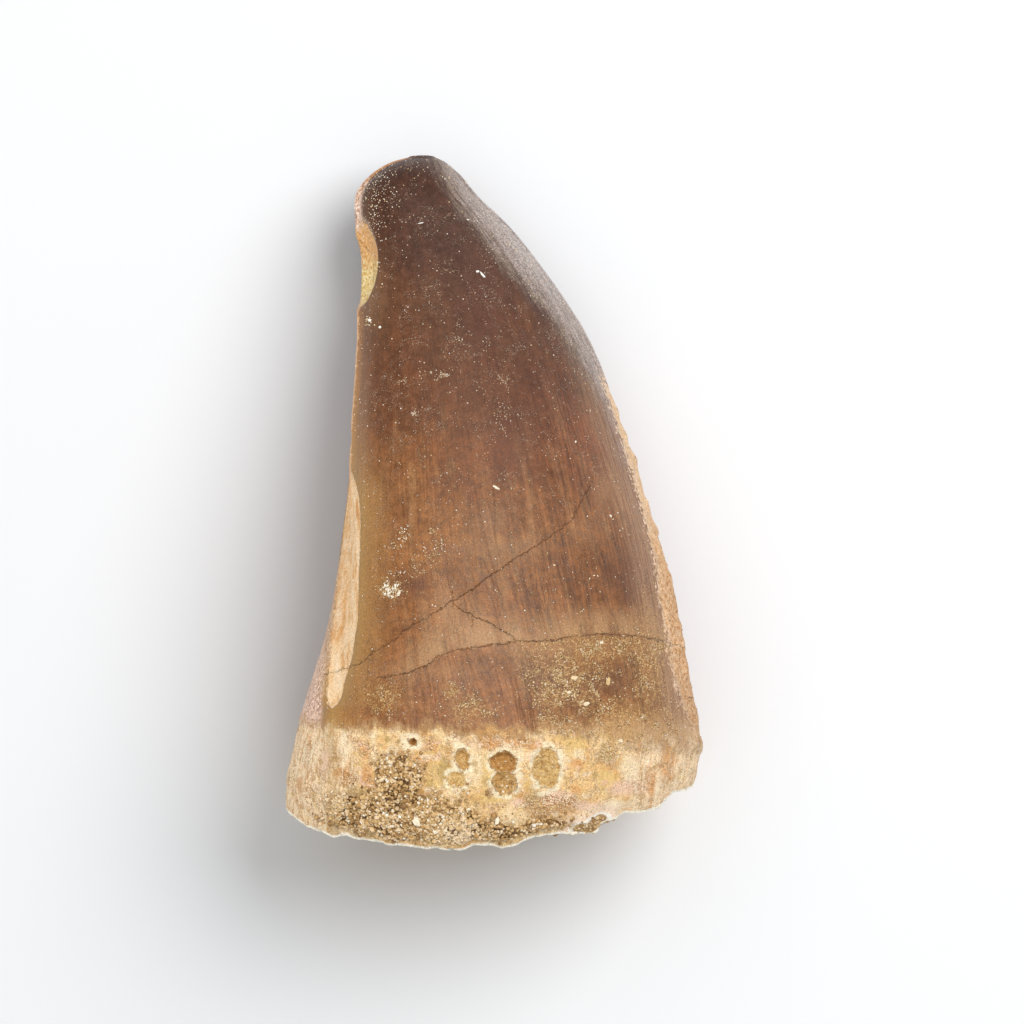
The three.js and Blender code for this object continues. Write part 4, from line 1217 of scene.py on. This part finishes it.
        gnawed = self.blend(self.product(self.rise(worn, 0.45, 0.1), 0.6), gnawed, "ffe4c8")
        coat.lay(
            gnawed,
            self.rise(worn, -0.05, 0.22),
            self.rise(margin, -0.3, 0.5),
            self.rise(self.y, -16.5, -11.5, 0.6, 0.95),
        )

    def add_chip_and_upper_ridge(self, coat, ragged):
        """The chip in the left edge, the worn corner above it, the tip's rim and the thin ridge below, with
        painted sheen along that ridge.
        """
        chip = self.sum(self.fact("chip"), self.product(ragged, 0.5))
        lifted = self.sum(self.y, self.product(ragged, 4))
        down = self.rise(lifted, 18.0, 16.4)
        orange = self.ramp(self.crumb, [(0.3, "c98d4e"), (0.5, "dea769"), (0.7, "f0c797")])
        sandy = self.ramp(self.crumb, [
            (0.3, "b08a42"), (0.42, "dcb468"), (0.55, "f0d69a"), (0.7, "fdf1cc"),
        ])
        coat.lay("d8b89c", self.rise(chip, -0.25, -0.02), 0.4)
        coat.lay(self.blend(down, orange, sandy), self.rise(chip, -0.02, 0.06))
        arc = self.sum(self.fact("left_arc"), self.product(ragged, 0.5))
        near_ridge = self.rise(self.sum(arc, self.product(ragged, 3)), 2.1, 1.0)
        coat.lay(
            "c88f60",
            self.rise(self.size_of(arc), 0.5, 0.3),
            self.rise(self.y, 22.0, 22.8),
            self.rise(self.y, 24.95, 24.7),
            self.rise(self.mottle, 0.3, 0.5, 0.5, 1.0),
            0.9,
        )
        pinkish = self.ramp(self.crumb, [
            (0.34, "8f6a58"), (0.46, "d3a98f"), (0.58, "f0d3bd"), (0.7, "fff3ea"),
        ])
        coat.lay(
            pinkish,
            self.rise(arc, -1.5, -0.7),
            self.rise(lifted, 19.2, 20.4),
            self.rise(lifted, 23.4, 22.4),
            near_ridge,
        )
        # Along the left ridge below the chip: a lighter brown glow, which is painted sheen, and a thin pale
        # line on its edge, partly painted highlight.
        left_ridge_sheen_zone = self.product(self.rise(self.y, 15, 13.0), self.rise(self.y, 0, 3), near_ridge)
        coat.lay("b5875f", self.rise(arc, -1.5, -0.3), self.rise(self.crumb, 0.4, 0.6, 0.35, 0.7), left_ridge_sheen_zone)
        coat.lay("e6b68c", self.rise(arc, -0.4, -0.1), left_ridge_sheen_zone, 0.9)

    def build(self):
        """The finished material: bone and enamel meet at a ragged margin, fainter on the right."""
        edge = self.noise(self.place, 1.4, 4, 0.6, offset=47)
        fringe = self.noise(self.stretched(0.16), 0.22, 3, 0.6, offset=46)
        margin = self.sum(
            self.fact("margin"),
            self.rise(edge, 0.25, 0.75, -0.4, 0.4),
            self.rise(fringe, 0.3, 0.7, -0.16, 0.16),
            self.rise(self.x, 5, 10, -0.18, -0.7),
        )
        stepped = self.product(margin, self.rise(self.x, 4.0, 9.5, 1.0, 0.25))
        coat = Coat(self, self.blend(self.rise(stepped, -0.45, 0.45), self.bone(), self.enamel()))
        coat.lay("c09564", self.rise(margin, -0.3, 0.3), self.rise(stepped, 0.7, 0.1), 0.55)
        ragged = self.rise(self.noise(self.place, 0.35, 4, 0.65, offset=53), 0.2, 0.8, -0.25, 0.25)
        self.add_worn_ridges(coat, ragged, margin)
        self.add_chip_and_upper_ridge(coat, ragged)
        coat.lay("55341f", self.cracks, 0.62)
        # A thin cream-white line along the broken rim: partly the rim's pale worn edge, partly painted
        # highlight.
        rim_pale_and_highlight = self.rise(self.size_of(self.fact("edge")), 0.22, 0.12)
        coat.lay("fff6e2", rim_pale_and_highlight, self.rise(margin, 0.5, -0.5))
        coat.lay("a07c48", self.rise(self.fact("crust"), -0.5, 0.1), self.crisp(0.4, 0.4, 0.55, 60), 0.6)
        coat.shade(self.rise(self.grit, 0.3, 0.7, 0.82, 1.17))
        covered = self.product(
            self.rise(margin, -0.2, 0.5),
            self.rise(self.fact("worn"), 0.2, -0.1),
            self.rise(self.fact("strip"), 0.1, 0),
        )
        roughness = self.sum(0.85, self.product(covered, self.rise(self.mottle, 0.3, 0.7, -0.52, -0.4)))
        bare = self.math("SUBTRACT", 1.0, covered)
        heights = self.sum(
            self.product(self.fine, 0.03), self.product(self.grit, 0.02), self.product(self.dust, 0.04),
            self.product(self.grooves, -0.04), self.product(self.cracks, -0.06),
            self.product(bare, self.crumb, 0.14), self.product(self.shoulder, self.crumb, 0.05),
        )
        self.put(self.surface.inputs["Specular IOR Level"], self.rise(self.x, -10, -5, 0.13, 0.28))
        return self.finish(coat.colour, roughness, heights)


def matrix_material():
    """Cemented phosphate sand between the grains: olive-brown, its darkest browns in the gaps partly painted
    shade, and paler along the broken edge, partly as a painted highlight.
    """
    m = Shader("sandy_matrix", 0.9, 0.3)
    lump = m.noise(m.place, 0.8, 4, 0.65, offset=3)
    # Its darkest browns, which lie in the gaps between the grains, are partly painted shade.
    coat = Coat(m, m.ramp(lump, [(0.3, "3f2b17"), (0.42, "69492a"), (0.56, "957045"), (0.72, "c8a272")]))
    crumb = m.noise(m.place, 0.2, 3, 0.7, offset=9)
    coat.shade(m.rise(crumb, 0.34, 0.66, 0.66, 1.18))
    coat.lay("3f2c17", m.rise(m.noise(m.place, 0.16, 2, offset=5), 0.56, 0.64), 0.6)
    # A pale line along the broken rim: partly a pale edge, partly painted highlight.
    coat.lay("efe3c4", m.rise(m.size_of(m.fact("edge")), 0.5, 0.1), 0.6)
    return m.finish(coat.colour, None, m.product(crumb, 0.14))


def grain_material():
    """Phosphate sand: olive, tan, beige and white grains by each grain's tint, with painted shade on their
    steep faces and a little painted light on their tops.
    """
    m = Shader("sand_grains", 0.62, 0.4)
    coat = Coat(m, m.ramp(m.fact("tint"), [
        (0.0, "503720"), (0.2, "876238"), (0.4, "bb9058"), (0.55, "d6b078"), (0.72, "e8caa0"),
        (0.88, "f3e2c6"), (1.0, "fbf6ea"),
    ]))
    speckle = m.noise(m.place, 0.12, 3, 0.6, offset=5)
    coat.shade(m.rise(speckle, 0.3, 0.7, 0.86, 1.1))
    # Painted shade on the grains' steep faces, and a little painted light on their tops.
    coat.shade(m.rise(m.facing_up, 0.1, 0.92, 0.34, 1.08))
    return m.finish(coat.colour, None, m.product(speckle, 0.03))


# ---------------------------------------------------------------- floor, light and camera

FLOOR_SIZE = 3  # metres


def floor():
    """A wide pale floor, which is part of the stage and not of the tooth."""
    bpy.ops.mesh.primitive_plane_add(size=FLOOR_SIZE, location=(0, 0, 0))
    plane = bpy.context.object
    plane.name = "floor"
    m = Shader("pale_floor", 0.9, 0.1)
    tint = m.noise(m.place, 90, 2)
    plane.data.materials.append(m.finish(m.ramp(tint, [(0.0, "f5f5f6"), (1.0, "f7f7f8")])))
    return plane


# Disc lamps, all aimed at the tooth: name, turn and tilt from straight up in degrees, size in metres, watts,
# and what they light. A "sheen" gives no diffuse light, and a "fill" no reflections.
LAMPS = [
    ("shadow_key", 38, 40, 0.5, 3.05, "floor_light"),
    ("second_key", 118, 32, 0.6, 0.5, "floor_light"),
    ("soft_top", 70, 18, 0.5, 3.0, "tooth_light"),
    ("rim_fill", 262, 82, 0.4, 0.9, "tooth_light"),
    ("right_sheen", 40, 84, 0.3, 0.9, "tooth_light"),
    ("right_fill", 350, 80, 0.4, 0.5, "tooth_light"),
    ("left_fill", 190, 80, 0.4, 0.75, "tooth_light"),
]
LAMP_DISTANCE = 0.6


def light(pieces, plane):
    """A pale room, two lamps that only draw the tooth's shadow on the floor, and five for the tooth alone."""
    world = bpy.data.worlds.new("studio")
    bpy.context.scene.world = world
    world.use_nodes = True
    room = world.node_tree.nodes["Background"].inputs
    room["Color"].default_value = (0.93, 0.975, 1, 1)
    room["Strength"].default_value = 0.45
    receivers = {}
    for name, objects in (("floor_light", [plane]), ("tooth_light", pieces)):
        receivers[name] = bpy.data.collections.new(name)
        for piece in objects:
            receivers[name].objects.link(piece)
    for name, turn, tilt, size, watts, receiver in LAMPS:
        panel = bpy.data.lights.new(name, "AREA")
        panel.shape, panel.size, panel.energy = "DISK", size, watts
        lamp = bpy.data.objects.new(name, panel)
        bpy.context.scene.collection.objects.link(lamp)
        lamp.light_linking.receiver_collection = receivers[receiver]
        lamp.visible_diffuse = not name.endswith("sheen")
        lamp.visible_glossy = not name.endswith("fill")
        turn, tilt = math.radians(turn), math.radians(tilt)
        aside = LAMP_DISTANCE * math.sin(tilt)
        lamp.location = (aside * math.cos(turn), aside * math.sin(turn), LAMP_DISTANCE * math.cos(tilt))
        lamp.rotation_euler = (0, tilt, turn)


def camera():
    """Straight above, so that the tip is up in the picture. field is the width that it sees at level."""
    field, away, level = 0.0735, 0.9, 0.009
    lens = bpy.data.cameras.new("camera")
    lens.lens = lens.sensor_width * away / field
    lens.clip_end = 4 * away
    made = bpy.data.objects.new("camera", lens)
    bpy.context.scene.collection.objects.link(made)
    made.location = (0.0013, -0.0008, level + away)
    bpy.context.scene.camera = made


def dress(piece, material, replaced=None):
    """Gives a piece its material, body and slot, and hides the solid that it replaces, if one is given."""
    piece.data.materials.append(material)
    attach(piece, "root")
    if replaced:
        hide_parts(replaced)
    return piece


plane = floor()
camera()
bpy.context.scene.view_settings.view_transform = "Standard"

form = Tooth()
pieces = [
    dress(build_tooth(form), ToothShader().build(), "tooth"),
    dress(build_crust(form), matrix_material(), "matrix"),
]
sand = grain_material()
for grains in build_sand(form) + [build_clinging(form), build_bits(form)]:
    pieces.append(dress(grains, sand))
light(pieces, plane)
